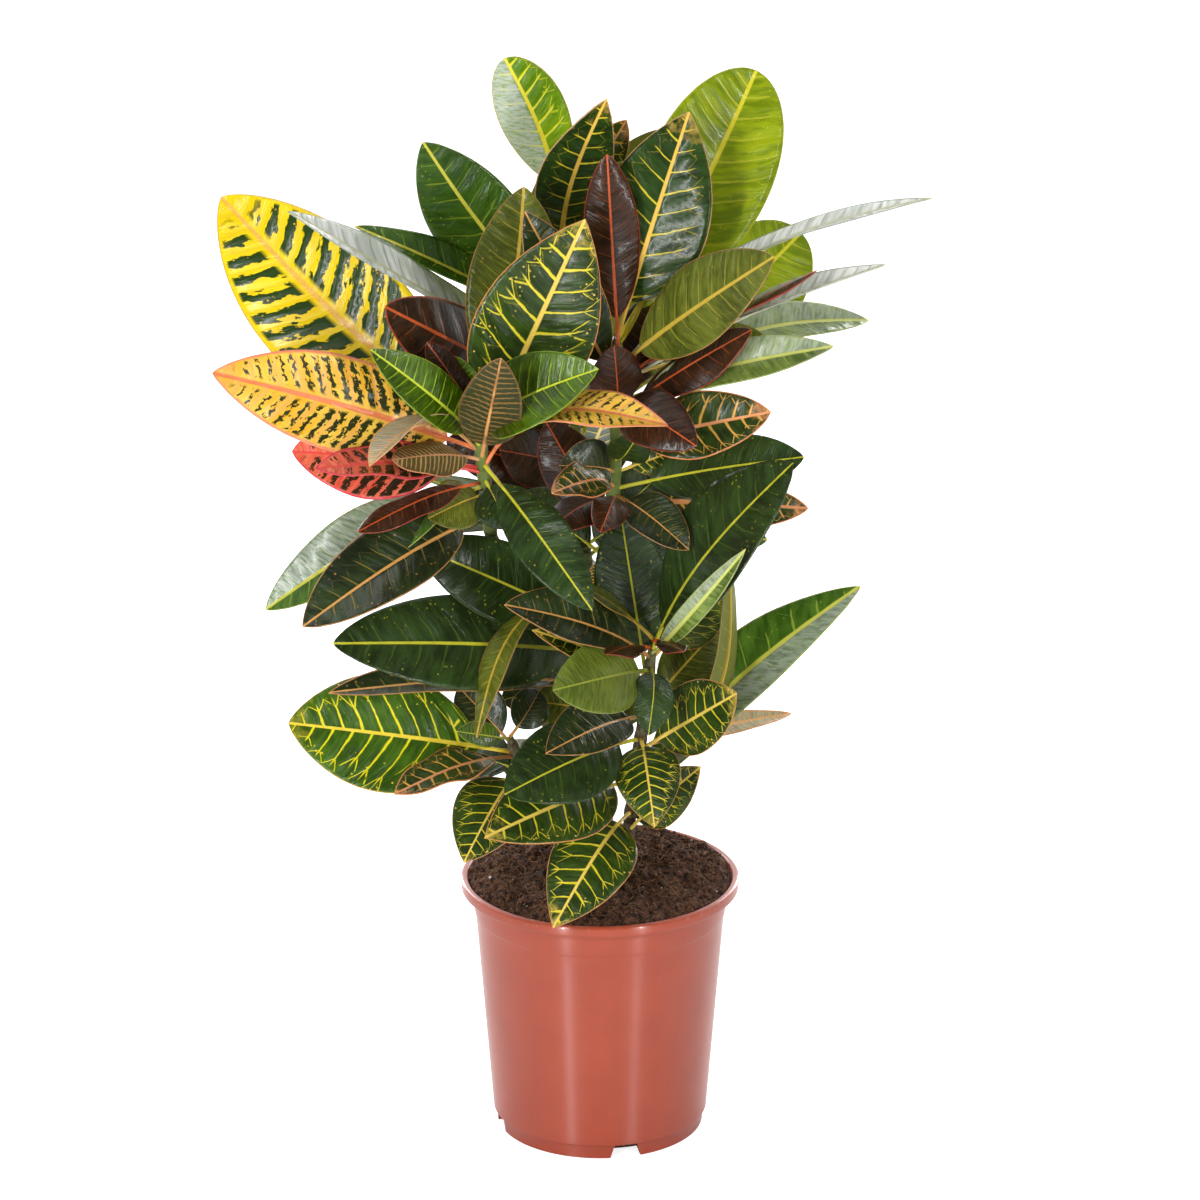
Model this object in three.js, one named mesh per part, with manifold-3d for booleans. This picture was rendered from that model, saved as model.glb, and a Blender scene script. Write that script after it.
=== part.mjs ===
// A croton in a plastic nursery pot: pot, potting soil and five leafy stems.
// Millimetres, +Z up, the pot stands on z = 0 with its axis on the Z axis, -Y is the front.
import * as THREE from 'three';
import { mergeVertices } from 'three/addons/utils/BufferGeometryUtils.js';
import Module from 'manifold-3d';

const wasm = await Module();
wasm.setup();

// ---- driving dimensions: pot ----
const POT_HEIGHT = 200;
const RIM_RADIUS = 105;
const RIM_BAND = 8.5;
const RIM_LIP = 2;
const RIM_THICKNESS = 2;
const RIM_INNER_RADIUS = 100;
const RIM_ROUNDING = 1.2;
const RIM_EDGE = 0.6;
const NECK_RADIUS = 96.5;
const NECK_INNER_RADIUS = 94.9;
const FLARE_RADIUS = 101.4;
const WALL_FOOT_RADIUS = 81.2;
const FOOT_RADIUS = 78.2;
const WALL = 2.2;
const FOOT_HEIGHT = 11.6;
const FOOT_RING_WIDTH = 6;
const SHOULDER_DROP = 20;
const SHOULDER_STEP = 0.8;
const FLOOR_RAISE = 4;
const FLOOR_THICKNESS = 2.5;
const FLOOR_CORNER = 2;
const FOOT_CORNER = 1;
const DISC_SLOPE = 5;
const REST_DISC_RADIUS = 30;
const POT_SEGMENTS = 32;

// Four drainage notches through the foot, trapezoids wider at the bottom.
const NOTCH_COUNT = 4;
const NOTCH_TURN = 14.5;
const NOTCH_TOP_WIDTH = 17;
const NOTCH_BOTTOM_WIDTH = 23;
const NOTCH_INNER_RADIUS = 60;
const NOTCH_OUTER_RADIUS = 84;

// ---- driving dimensions: soil ----
const FIT_GAP = 0.3;
const RIM_FIT_GAP = 0.4;
const SOIL_EDGE_HEIGHT = 198.2;
const SOIL_MOUND = 14;
const SOIL_SHOULDER = 4;
const SOIL_RINGS = 6;
const SOIL_BUMP = 1.6;

// ---- driving dimensions: stems and leaves ----
const STEM_SIDES = 8;
const STALK_LENGTH = 28;
const STALK_SHARE = 0.2;
const STALK_HALF_WIDTH = 1.6;
const STALK_HALF_THICKNESS = 1.3;
const BLADE_HALF_THICKNESS = 0.45;
const TIP_HALF_WIDTH = 0.7;
const LARGE_LEAF = 48;
const LARGE_STATIONS = [0, 0.14, 0.33, 0.55, 0.77, 0.93, 1];
const SMALL_STATIONS = [0, 0.2, 0.5, 0.82, 1];

// Each stem: [x, y, z, radius] from its foot in the soil to its growing tip.
const STEMS = {
  lowLeft: [
    [-24, -12, 120, 5], [-24, -12, 214, 5], [-42, -40, 270, 4.6], [-63, -60, 322, 4.2], [-68, -66, 342, 2.4],
  ],
  midRight: [
    [18, -18, 120, 5], [18, -18, 214, 5], [26, -34, 290, 4.8], [36, -56, 380, 4.4], [39, -62, 412, 2.4],
  ],
  centre: [
    [4, 8, 120, 6], [4, 8, 214, 6], [2, -10, 400, 5.4], [10, -32, 520, 5], [14, -15, 600, 4.4],
    [13, -8, 634, 2.4],
  ],
  upperLeft: [
    [-15, 16, 120, 6], [-15, 16, 214, 6], [-50, -8, 380, 5.4], [-80, -34, 480, 5], [-87, -45, 556, 4.4],
    [-87, -47, 584, 2.4],
  ],
  back: [
    [0, 38, 120, 5.4], [0, 38, 214, 5.4], [-10, 60, 420, 5], [-24, 78, 600, 4.4], [-30, 84, 690, 4],
    [-31, 85, 712, 2.4],
  ],
};

// How far the margins rise from the midrib (slope), how deep and how often they wave (mm, waves),
// and how bluntly the blade ends (a low number is round, a high one drawn out to a point).
const HABITS = {
  flat: { fold: 0.08, wave: 1.5, waves: 1.5, point: 0.76 },
  pointed: { fold: 0.12, wave: 1.5, waves: 1.5, point: 0.92 },
  round: { fold: 0.1, wave: 1.5, waves: 1.5, point: 0.54 },
  folded: { fold: 0.32, wave: 1.5, waves: 1.5, point: 0.8 },
  wavy: { fold: 0.18, wave: 2.6, waves: 2, point: 0.8 },
  curled: { fold: -0.25, wave: 2, waves: 1.5, point: 0.72 },
};
const BLADE_SHOULDER = 0.7;

// Each leaf: height on the stem, tip x, y, z, blade width, arch, sway, then how its upper face is
// turned: degrees from straight up towards the front, degrees of lean to the right, and its habit.
const LEAVES = {
  lowLeft: [
    [322, -230, -85, 355, 92, 5, 0, 55, 0, 'flat'],
    [318, -150, -140, 320, 38, 8, 0, 20, 0, 'wavy'],
    [308, -100, -125, 260, 56, 12, 0, 60, -10, 'pointed'],
    [334, -105, -115, 360, 20, 0, 0, 60, 0, 'folded'],
    [328, -105, -36, 365, 38, 4, 0, 60, 0, 'folded'],
    [336, -45, -45, 365, 30, 8, 0, 70, 10, 'folded'],
    [300, -110, -10, 300, 44, 8, 0, 40, 0, 'flat'],
    [275, -65, 10, 305, 40, 8, 0, 40, 0, 'flat'],
  ],
  midRight: [
    [345, -40, -135, 350, 46, 10, 0, 45, 0, 'folded'],
    [326, -70, -140, 320, 66, 12, 0, 50, 0, 'flat'],
    [290, -85, -150, 290, 68, 10, 0, 50, 0, 'pointed'],
    [262, -35, -130, 210, 62, 22, 0, 50, 0, 'pointed'],
    [328, 40, -118, 285, 50, 14, 0, 55, 0, 'pointed'],
    [245, 75, -70, 315, 40, 8, 0, 60, 0, 'pointed'],
    [262, 195, 5, 430, 58, 26, 0, 40, -20, 'folded'],
    [318, 145, 25, 320, 18, 6, 0, 45, 0, 'folded'],
    [316, 100, -115, 390, 54, 0, 0, 60, 0, 'flat'],
    [300, 95, -50, 465, 44, -32, 0, -60, -60, 'flat'],
    [400, 105, -138, 510, 18, 18, 0, 75, 0, 'folded'],
    [395, 90, 5, 430, 46, -5, 0, 60, 0, 'flat'],
    [350, 90, 0, 400, 40, 5, 0, 60, 0, 'flat'],
    [388, 35, -112, 355, 32, 14, 0, 70, 10, 'flat'],
    [386, -35, -150, 405, 56, 12, 0, 65, 0, 'flat'],
    [404, 5, -142, 430, 24, 4, 0, 15, 0, 'curled'],
    [410, 60, -124, 425, 20, 4, 0, 15, 0, 'curled'],
    [412, -45, -80, 475, 38, 6, 0, 0, 20, 'flat'],
    [400, 140, -108, 565, 84, 16, 0, 45, -35, 'flat'],
    [396, -70, -120, 460, 47, 12, 0, 40, 0, 'folded'],
    [380, -50, -105, 435, 30, 6, 0, 45, 0, 'pointed'],
    [372, 15, -44, 505, 56, 4, 0, 78, 0, 'flat'],
    [365, 95, 48, 335, 44, 8, 0, 40, 0, 'flat'],
  ],
  centre: [
    [425, -90, -120, 355, 32, 40, 0, 40, -45, 'flat'],
    [518, 150, -38, 545, 52, 6, 0, 50, 0, 'flat'],
    [508, 155, 5, 490, 40, 8, 0, 60, 0, 'wavy'],
    [494, 125, 20, 460, 36, 8, 0, 60, 0, 'folded'],
    [514, 65, -88, 490, 36, 8, 0, 45, 0, 'folded'],
    [488, 75, -20, 425, 42, 8, 0, 70, 0, 'flat'],
    [530, -30, -58, 545, 40, 10, 0, 60, 0, 'folded'],
    [520, -35, -120, 545, 32, 10, 0, 50, 0, 'wavy'],
    [506, 0, -105, 510, 28, 14, 0, 70, 0, 'curled'],
    [540, 30, -75, 580, 32, 8, 0, 60, 15, 'flat'],
    [560, 35, -10, 575, 34, 5, 0, 60, 0, 'curled'],
    [530, 70, -8, 545, 28, 6, 0, 70, 0, 'pointed'],
    [566, 10, -52, 635, 40, 6, 0, 70, 10, 'curled'],
    [508, -35, -95, 510, 40, 8, 0, 20, 0, 'curled'],
    [470, -10, -45, 425, 20, 4, 0, 70, 0, 'wavy'],
    [400, -135, -62, 485, 60, 8, 0, 60, 0, 'flat'],
    [380, -195, -120, 430, 76, 10, 0, 50, 0, 'flat'],
    [355, -200, -90, 380, 42, 8, 0, 20, 0, 'folded'],
    [590, -55, -30, 730, 47, 10, 0, 65, 0, 'folded'],
    [628, 65, 5, 795, 84, 8, 0, 72, -5, 'pointed'],
    [626, 115, 65, 810, 94, 5, 4, 72, 5, 'round'],
    [622, 10, 10, 755, 50, 4, 24, 72, 0, 'round'],
    [616, 5, -20, 770, 42, 5, 0, 72, 0, 'curled'],
    [602, 240, -50, 745, 30, 30, 0, 8, 0, 'folded'],
    [592, 205, -98, 710, 38, 9, 0, 10, 0, 'folded'],
    [606, 125, -95, 715, 64, 6, 0, 50, 0, 'flat'],
    [596, 155, -112, 710, 32, 4, 0, 10, 0, 'curled'],
    [594, 150, 85, 680, 84, 5, 6, 75, 0, 'round'],
    [572, 110, -62, 650, 38, 4, 0, 40, 0, 'curled'],
    [598, 120, -28, 635, 46, 4, 0, 70, 0, 'flat'],
    [580, 200, 55, 620, 42, 34, 0, 35, 0, 'folded'],
    [580, 170, -55, 635, 36, 12, 0, 45, 0, 'folded'],
    [548, 125, -55, 585, 50, 10, 0, 60, 0, 'wavy'],
    [576, 70, -105, 575, 46, 24, 0, 60, 0, 'curled'],
    [460, -60, 10, 500, 46, 8, 0, 70, 0, 'flat'],
    [480, -40, 0, 560, 46, 6, 0, 70, 0, 'curled'],
    [330, -50, -40, 355, 44, 8, 0, 60, 0, 'flat'],
    [568, 40, 12, 655, 40, 6, 0, 70, 0, 'curled'],
    [490, 50, -20, 530, 44, 8, 0, 60, 0, 'flat'],
  ],
  back: [
    [684, 20, 70, 770, 36, 4, 0, 72, 0, 'wavy'],
    [664, 5, -16, 810, 54, 4, -9, 70, 10, 'pointed'],
    [694, -70, 60, 820, 60, 5, 7, 70, 0, 'round'],
    [565, -225, -65, 740, 46, 2, 0, 25, 0, 'folded'],
    [600, -180, 14, 705, 40, 6, 0, 25, 0, 'folded'],
    [620, -130, 48, 760, 70, 6, -6, 75, -15, 'flat'],
    [545, -155, -86, 675, 64, 6, 0, 60, 0, 'curled'],
    [420, -140, 140, 470, 60, 14, 0, -40, 0, 'flat'],
    [430, 120, 160, 450, 72, 14, 0, -40, 0, 'flat'],
    [450, 10, 210, 500, 70, 20, 0, -35, 0, 'pointed'],
    [470, -190, 110, 560, 76, 14, 0, -30, 0, 'wavy'],
    [480, 115, 110, 540, 72, 14, 0, -30, 0, 'wavy'],
    [500, -70, 190, 570, 70, 20, 0, -35, 0, 'pointed'],
    [510, 85, 180, 600, 72, 20, 0, -35, 0, 'flat'],
    [540, -120, 150, 670, 76, 12, 0, -55, 0, 'pointed'],
    [560, 40, 170, 690, 74, 12, 0, -60, 0, 'round'],
    [600, -20, 150, 740, 70, 8, 0, -70, 0, 'pointed'],
    [640, 60, 120, 750, 60, 8, 0, -70, 0, 'flat'],
    [380, -60, 180, 400, 66, 16, 0, -30, 0, 'pointed'],
    [350, 60, 170, 370, 64, 16, 0, -30, 0, 'flat'],
    [330, -110, 120, 330, 46, 12, 0, -30, 0, 'pointed'],
    [300, 100, 110, 300, 46, 12, 0, -30, 0, 'pointed'],
    [290, -20, 150, 290, 46, 14, 0, -30, 0, 'wavy'],
    [400, 95, 70, 395, 64, 12, 0, -20, 0, 'folded'],
    [455, -150, 60, 440, 60, 10, 0, -10, 0, 'flat'],
    [520, -65, 70, 560, 46, 6, 0, 70, 0, 'flat'],
    [500, -75, 22, 530, 46, 6, 0, 60, 0, 'curled'],
    [440, 40, 35, 480, 46, 8, 0, 60, 0, 'flat'],
    [490, -115, 30, 535, 46, 8, 0, 60, 0, 'curled'],
    [470, -100, 35, 485, 46, 8, 0, 50, 0, 'flat'],
    [390, 35, 20, 385, 46, 8, 0, 50, 0, 'flat'],
    [315, 40, 25, 325, 46, 8, 0, 40, 0, 'flat'],
    [330, -75, 25, 330, 46, 8, 0, 40, 0, 'flat'],
  ],
  upperLeft: [
    [536, 50, -118, 595, 48, 34, 0, 20, 0, 'wavy'],
    [566, -280, 60, 715, 108, 6, -7, 75, 0, 'flat'],
    [552, -280, -85, 625, 72, 6, 3, 65, 0, 'wavy'],
    [578, -55, 0, 740, 70, 5, 7, 75, 0, 'flat'],
    [558, -10, -65, 735, 90, 6, 0, 68, 8, 'pointed'],
    [560, 0, -108, 635, 58, 22, 0, 50, 0, 'folded'],
    [570, -125, -75, 645, 26, 8, 0, 50, 0, 'curled'],
    [555, -165, -108, 650, 38, 14, 0, 55, 0, 'folded'],
    [574, -105, -62, 630, 24, 2, 0, 70, 0, 'folded'],
    [546, -70, -128, 650, 47, -8, 0, -110, 0, 'curled'],
    [548, -165, -135, 570, 38, 28, 0, 20, -30, 'folded'],
    [538, -225, -55, 555, 66, 6, 0, 60, 0, 'wavy'],
    [534, -205, -125, 565, 38, 8, 0, 30, 0, 'wavy'],
    [544, -150, -105, 565, 34, 6, 0, 40, 0, 'curled'],
    [526, -175, -120, 515, 26, 8, 0, 30, 0, 'curled'],
    [516, -125, -75, 510, 40, 8, 0, 60, 0, 'flat'],
    [524, -245, -78, 440, 50, 20, 0, 50, 0, 'folded'],
    [500, -215, -142, 450, 60, 14, 0, 45, 0, 'folded'],
    [542, -5, -135, 460, 44, 16, 0, 60, 0, 'flat'],
    [530, -65, -70, 500, 36, 6, 0, 70, 0, 'flat'],
  ],
};

// ---- helpers ----
const vector = (x, y, z) => new THREE.Vector3(x, y, z);
const radians = THREE.MathUtils.degToRad;

// A closed skin round a list of rings, whose long faces are split alike on the two flat sides.
function loft(rings) {
  const count = rings[0].length;
  const positions = rings.flat().flatMap((point) => point.toArray());
  const faces = [];
  for (let ring = 0; ring < rings.length - 1; ring += 1) {
    for (let side = 0; side < count; side += 1) {
      const next = (side + 1) % count;
      const a = ring * count + side;
      const b = ring * count + next;
      const c = a + count;
      const d = b + count;
      if (side < count / 2) faces.push(a, b, d, a, d, c);
      else faces.push(a, b, c, b, d, c);
    }
  }
  const last = (rings.length - 1) * count;
  for (let side = 1; side < count - 1; side += 1) {
    faces.push(0, side + 1, side);
    faces.push(last, last + side, last + side + 1);
  }
  const geometry = new THREE.BufferGeometry();
  geometry.setAttribute('position', new THREE.Float32BufferAttribute(positions, 3));
  geometry.setIndex(faces);
  return geometry;
}

function toSolid(geometry) {
  const bare = geometry.clone();
  bare.deleteAttribute('normal');
  bare.deleteAttribute('uv');
  const merged = mergeVertices(bare, 1e-4);
  return new wasm.Manifold(new wasm.Mesh({
    numProp: 3,
    vertProperties: new Float32Array(merged.attributes.position.array),
    triVerts: new Uint32Array(merged.index.array),
  }));
}

function toGeometry(solid) {
  const mesh = solid.getMesh();
  const geometry = new THREE.BufferGeometry();
  geometry.setAttribute('position', new THREE.BufferAttribute(mesh.vertProperties, 3));
  geometry.setIndex(new THREE.BufferAttribute(mesh.triVerts, 1));
  geometry.computeVertexNormals();
  return geometry;
}

function namedMesh(name, geometry, color, roughness) {
  const material = new THREE.MeshStandardMaterial({ color, roughness, metalness: 0 });
  const mesh = new THREE.Mesh(geometry, material);
  mesh.name = name;
  return mesh;
}

// A turned solid whose profile is [radius, z] from the bottom of the axis outwards and back.
function turned(profile) {
  const points = profile.map(([radius, z]) => new THREE.Vector2(radius, z));
  const geometry = new THREE.LatheGeometry(points, POT_SEGMENTS);
  geometry.rotateX(Math.PI / 2);
  return geometry;
}

// ---- pot ----
const neckHeight = POT_HEIGHT - RIM_BAND;
const shoulderHeight = neckHeight - SHOULDER_DROP;
const wallSlope = (NECK_RADIUS - WALL_FOOT_RADIUS) / (neckHeight - FOOT_HEIGHT);
const wallRadius = (z) => WALL_FOOT_RADIUS + wallSlope * (z - FOOT_HEIGHT);
const footInner = FOOT_RADIUS - FOOT_RING_WIDTH;
const floorTop = FLOOR_RAISE + FLOOR_THICKNESS;
const floorRadius = FOOT_RADIUS - WALL;
const shoulderInner = wallRadius(shoulderHeight) - WALL - SHOULDER_STEP;
const rimUnderside = POT_HEIGHT - RIM_THICKNESS - RIM_EDGE;
const flare = (RIM_INNER_RADIUS - NECK_INNER_RADIUS) / (POT_HEIGHT - RIM_ROUNDING - neckHeight);

function potProfile() {
  return [
    [0, 0],
    [REST_DISC_RADIUS, 0],
    [REST_DISC_RADIUS + DISC_SLOPE, FLOOR_RAISE],
    [footInner - FOOT_CORNER, FLOOR_RAISE],
    [footInner, 0],
    [FOOT_RADIUS, 0],
    [FOOT_RADIUS + RIM_EDGE, FOOT_HEIGHT - FOOT_CORNER],
    [WALL_FOOT_RADIUS - FOOT_CORNER, FOOT_HEIGHT],
    [WALL_FOOT_RADIUS, FOOT_HEIGHT + FOOT_CORNER],
    [wallRadius(shoulderHeight) - SHOULDER_STEP, shoulderHeight],
    [wallRadius(shoulderHeight), shoulderHeight + SHOULDER_STEP],
    [wallRadius(neckHeight), neckHeight],
    [FLARE_RADIUS, rimUnderside],
    [RIM_RADIUS - RIM_LIP, rimUnderside],
    [RIM_RADIUS - RIM_LIP, neckHeight],
    [RIM_RADIUS - RIM_EDGE, neckHeight],
    [RIM_RADIUS, POT_HEIGHT - 2 * RIM_LIP],
    [RIM_RADIUS - RIM_EDGE, POT_HEIGHT - RIM_ROUNDING],
    [RIM_RADIUS - RIM_LIP, POT_HEIGHT],
    [RIM_INNER_RADIUS + RIM_ROUNDING, POT_HEIGHT],
    [RIM_INNER_RADIUS, POT_HEIGHT - RIM_ROUNDING],
    [NECK_INNER_RADIUS, neckHeight],
    [shoulderInner, shoulderHeight],
    [floorRadius + FLOOR_CORNER, FOOT_HEIGHT + FLOOR_CORNER],
    [floorRadius, floorTop],
    [REST_DISC_RADIUS + DISC_SLOPE + FOOT_CORNER, floorTop],
    [REST_DISC_RADIUS + FOOT_CORNER, FLOOR_THICKNESS],
    [0, FLOOR_THICKNESS],
  ];
}

function notchCutter() {
  const shape = new THREE.Shape();
  const slant = (NOTCH_BOTTOM_WIDTH - NOTCH_TOP_WIDTH) / 2 / FOOT_HEIGHT;
  const corner = 2.5;
  const lowHalf = NOTCH_BOTTOM_WIDTH / 2 + slant;
  const topHalf = NOTCH_TOP_WIDTH / 2;
  shape.moveTo(-lowHalf, -1);
  shape.lineTo(lowHalf, -1);
  shape.lineTo(topHalf + slant * corner, FOOT_HEIGHT - corner);
  shape.quadraticCurveTo(topHalf, FOOT_HEIGHT, topHalf - corner, FOOT_HEIGHT);
  shape.lineTo(corner - topHalf, FOOT_HEIGHT);
  shape.quadraticCurveTo(-topHalf, FOOT_HEIGHT, -topHalf - slant * corner, FOOT_HEIGHT - corner);
  const geometry = new THREE.ExtrudeGeometry(shape, {
    depth: NOTCH_OUTER_RADIUS - NOTCH_INNER_RADIUS,
    bevelEnabled: false,
    curveSegments: 3,
  });
  geometry.rotateX(Math.PI / 2);
  geometry.translate(0, -NOTCH_INNER_RADIUS, 0);
  return geometry;
}

function potGeometry() {
  let pot = toSolid(turned(potProfile()));
  for (let index = 0; index < NOTCH_COUNT; index += 1) {
    const cutter = notchCutter();
    cutter.rotateZ(radians(NOTCH_TURN) + (index * 2 * Math.PI) / NOTCH_COUNT);
    pot = pot.subtract(toSolid(cutter));
  }
  return toGeometry(pot);
}

// ---- soil ----
function soilProfile() {
  const profile = [
    [0, FLOOR_THICKNESS + FIT_GAP],
    [REST_DISC_RADIUS + FOOT_CORNER - FIT_GAP, FLOOR_THICKNESS + FIT_GAP],
    [REST_DISC_RADIUS + DISC_SLOPE + FOOT_CORNER, floorTop + FIT_GAP],
    [floorRadius - FIT_GAP, floorTop + FIT_GAP],
    [floorRadius + FLOOR_CORNER - FIT_GAP, FOOT_HEIGHT + FLOOR_CORNER],
    [shoulderInner - FIT_GAP, shoulderHeight],
    [NECK_INNER_RADIUS - RIM_FIT_GAP, neckHeight],
  ];
  const edge = NECK_INNER_RADIUS - RIM_FIT_GAP + (SOIL_EDGE_HEIGHT - neckHeight) * flare;
  for (let ring = 0; ring <= SOIL_RINGS; ring += 1) {
    const reach = ring / SOIL_RINGS;
    const rise = SOIL_MOUND * (1 - (1 - reach) ** SOIL_SHOULDER);
    profile.push([edge * (1 - reach), SOIL_EDGE_HEIGHT + rise]);
  }
  return profile;
}

function soilGeometry() {
  const geometry = turned(soilProfile());
  const position = geometry.attributes.position;
  for (let index = 0; index < position.count; index += 1) {
    const x = position.getX(index);
    const y = position.getY(index);
    const z = position.getZ(index);
    const lump = Math.sin(x / 9 + 1.3) * Math.cos(y / 11 - 0.4) + 0.5 * Math.sin((x + y) / 6);
    if (z > SOIL_EDGE_HEIGHT + 0.5) position.setZ(index, z + SOIL_BUMP * lump);
  }
  let soil = toSolid(geometry);
  for (const [foot] of Object.values(STEMS)) {
    const [x, y, z, radius] = foot;
    const depth = POT_HEIGHT + SOIL_MOUND + 10 - z;
    const hole = new THREE.CylinderGeometry(radius + 0.6, radius + 0.6, depth, 12);
    hole.rotateX(Math.PI / 2);
    hole.translate(x, y, z - FIT_GAP + depth / 2);
    soil = soil.subtract(toSolid(hole));
  }
  return toGeometry(soil);
}

// ---- leafy stems ----
function stemGeometry(points) {
  const rings = points.map(([x, y, z, radius]) => {
    const ring = [];
    for (let side = 0; side < STEM_SIDES; side += 1) {
      const angle = (side / STEM_SIDES) * 2 * Math.PI;
      ring.push(vector(x + radius * Math.cos(angle), y + radius * Math.sin(angle), z));
    }
    return ring;
  });
  return loft(rings);
}

// The stem's axis point at a height.
function axisPoint(points, height) {
  const above = points.findIndex((point) => point[2] >= height);
  const [low, high] = [points[above - 1], points[above]];
  const share = (height - low[2]) / (high[2] - low[2]);
  return vector(...low.slice(0, 3)).lerp(vector(...high.slice(0, 3)), share);
}

// Half of the blade's width along it, as a share of its widest place.
function bladeOutline(t, point) {
  const widest = BLADE_SHOULDER / (BLADE_SHOULDER + point);
  const peak = widest ** BLADE_SHOULDER * (1 - widest) ** point;
  return (t ** BLADE_SHOULDER * (1 - t) ** point) / peak;
}

// The leaf's own frame and its curves, all along u from the stem's axis to the tip.
function leafForm(points, leaf, index) {
  const [height, tipX, tipY, tipZ, width, arch, sway, tilt, lean, habit] = leaf;
  const base = axisPoint(points, height);
  const chord = vector(tipX, tipY, tipZ).sub(base);
  const forward = chord.clone().normalize();
  const up = vector(
    Math.sin(radians(lean)),
    -Math.sin(radians(tilt)) * Math.cos(radians(lean)),
    Math.cos(radians(tilt)) * Math.cos(radians(lean)),
  );
  up.addScaledVector(forward, -up.dot(forward)).normalize();
  const side = forward.clone().cross(up);
  const stalk = Math.min(STALK_SHARE, STALK_LENGTH / chord.length());
  const midrib = (u) => {
    const bow = Math.sin(Math.PI * Math.max(u, 0) ** 0.9);
    const along = base.clone().addScaledVector(chord, u);
    return along.addScaledVector(up, arch * bow).addScaledVector(side, sway * bow);
  };
  return { midrib, up, stalk, width, phase: index * 1.7, ...HABITS[habit] };
}

// One ring of six points across the leaf: across the upper face, then back across the lower one.
function leafRing(form, t) {
  const u = t < 0 ? 0 : form.stalk + (1 - form.stalk) * t;
  const step = 0.01;
  const centre = form.midrib(u);
  const heading = form.midrib(u + step).sub(form.midrib(u - step)).normalize();
  const up = form.up.clone().addScaledVector(heading, -form.up.dot(heading)).normalize();
  const side = heading.clone().cross(up);
  const blade = t < 0 ? 0 : bladeOutline(t, form.point);
  const least = t === 1 ? TIP_HALF_WIDTH : STALK_HALF_WIDTH;
  const half = Math.max(least, (form.width / 2) * blade);
  const thick = t > 0 ? BLADE_HALF_THICKNESS : STALK_HALF_THICKNESS;
  const point = (across, offset) => {
    const ripple = form.wave * blade * Math.sin(2 * Math.PI * form.waves * t + 2 * across + form.phase);
    const rise = Math.abs(across) * (form.fold * half + ripple) + offset;
    return centre.clone().addScaledVector(side, half * across).addScaledVector(up, rise);
  };
  return [
    point(-1, thick), point(0, thick), point(1, thick),
    point(1, -thick), point(0, -thick), point(-1, -thick),
  ];
}

function leafGeometry(points, leaf, index) {
  const form = leafForm(points, leaf, index);
  const stations = form.width >= LARGE_LEAF ? LARGE_STATIONS : SMALL_STATIONS;
  return loft([-1, ...stations].map((t) => leafRing(form, t)));
}

// The largest connected skin: a hollow sealed between leaves is filled and a loose scrap is dropped.
function largestSkin(geometry) {
  const faces = geometry.index.array;
  const owner = Array.from({ length: geometry.attributes.position.count }, (_, vertex) => vertex);
  const rootOf = (vertex) => {
    let root = vertex;
    while (owner[root] !== root) root = owner[root];
    owner[vertex] = root;
    return root;
  };
  for (let corner = 0; corner < faces.length; corner += 3) {
    owner[rootOf(faces[corner + 1])] = rootOf(faces[corner]);
    owner[rootOf(faces[corner + 2])] = rootOf(faces[corner]);
  }
  const skins = new Map();
  for (let corner = 0; corner < faces.length; corner += 3) {
    const root = rootOf(faces[corner]);
    if (!skins.has(root)) skins.set(root, []);
    skins.get(root).push(...faces.slice(corner, corner + 3));
  }
  geometry.setIndex([...skins.values()].reduce((best, skin) => (skin.length > best.length ? skin : best)));
  return geometry;
}

function leafyStemGeometry(name) {
  const points = STEMS[name];
  let solid = toSolid(stemGeometry(points));
  LEAVES[name].forEach((leaf, index) => {
    solid = solid.add(toSolid(leafGeometry(points, leaf, index)));
  });
  return largestSkin(toGeometry(solid));
}

// ---- the whole plant ----
const STEM_NODES = {
  lowLeft: ['leafy_stem_low_left', 0x3f5a2a],
  midRight: ['leafy_stem_mid_right', 0x44602c],
  centre: ['leafy_stem_centre', 0x4a5a2e],
  upperLeft: ['leafy_stem_upper_left', 0xb08a2c],
  back: ['leafy_stem_back', 0x3a5528],
};

const croton = new THREE.Group();
croton.add(namedMesh('pot', potGeometry(), 0xb95f4e, 0.45));
croton.add(namedMesh('soil', soilGeometry(), 0x3a2a22, 0.95));
for (const [key, [name, color]] of Object.entries(STEM_NODES)) {
  croton.add(namedMesh(name, leafyStemGeometry(key), color, 0.4));
}

export default croton;
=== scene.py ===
# %% [markdown]
# # A croton in its nursery pot
#
# The plant stands about 82 cm high: five leafy stems in potting soil, in a round plastic pot. The
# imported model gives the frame, with +Z up and the pot's front towards -Y. Every piece here is made
# in metres in that frame. The stems' and leaves' sizes are written once more in millimetres, as a
# grower would measure them.

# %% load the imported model
import math
import random
import bpy
import bmesh
from mathutils import Matrix, Vector, noise


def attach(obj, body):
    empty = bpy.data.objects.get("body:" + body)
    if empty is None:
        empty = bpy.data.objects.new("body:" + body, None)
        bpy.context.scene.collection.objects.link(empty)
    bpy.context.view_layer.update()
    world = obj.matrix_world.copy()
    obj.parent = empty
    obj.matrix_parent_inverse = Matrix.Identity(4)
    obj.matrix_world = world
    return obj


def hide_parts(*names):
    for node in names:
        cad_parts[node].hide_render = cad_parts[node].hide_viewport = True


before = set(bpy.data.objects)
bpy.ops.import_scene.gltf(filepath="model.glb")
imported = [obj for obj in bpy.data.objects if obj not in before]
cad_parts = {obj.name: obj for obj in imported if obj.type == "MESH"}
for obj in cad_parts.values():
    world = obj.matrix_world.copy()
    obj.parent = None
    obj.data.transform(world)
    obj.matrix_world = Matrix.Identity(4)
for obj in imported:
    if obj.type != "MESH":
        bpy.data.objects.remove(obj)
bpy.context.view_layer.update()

MM = 0.001
print("frame nodes:", ", ".join(sorted(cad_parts)))

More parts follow.
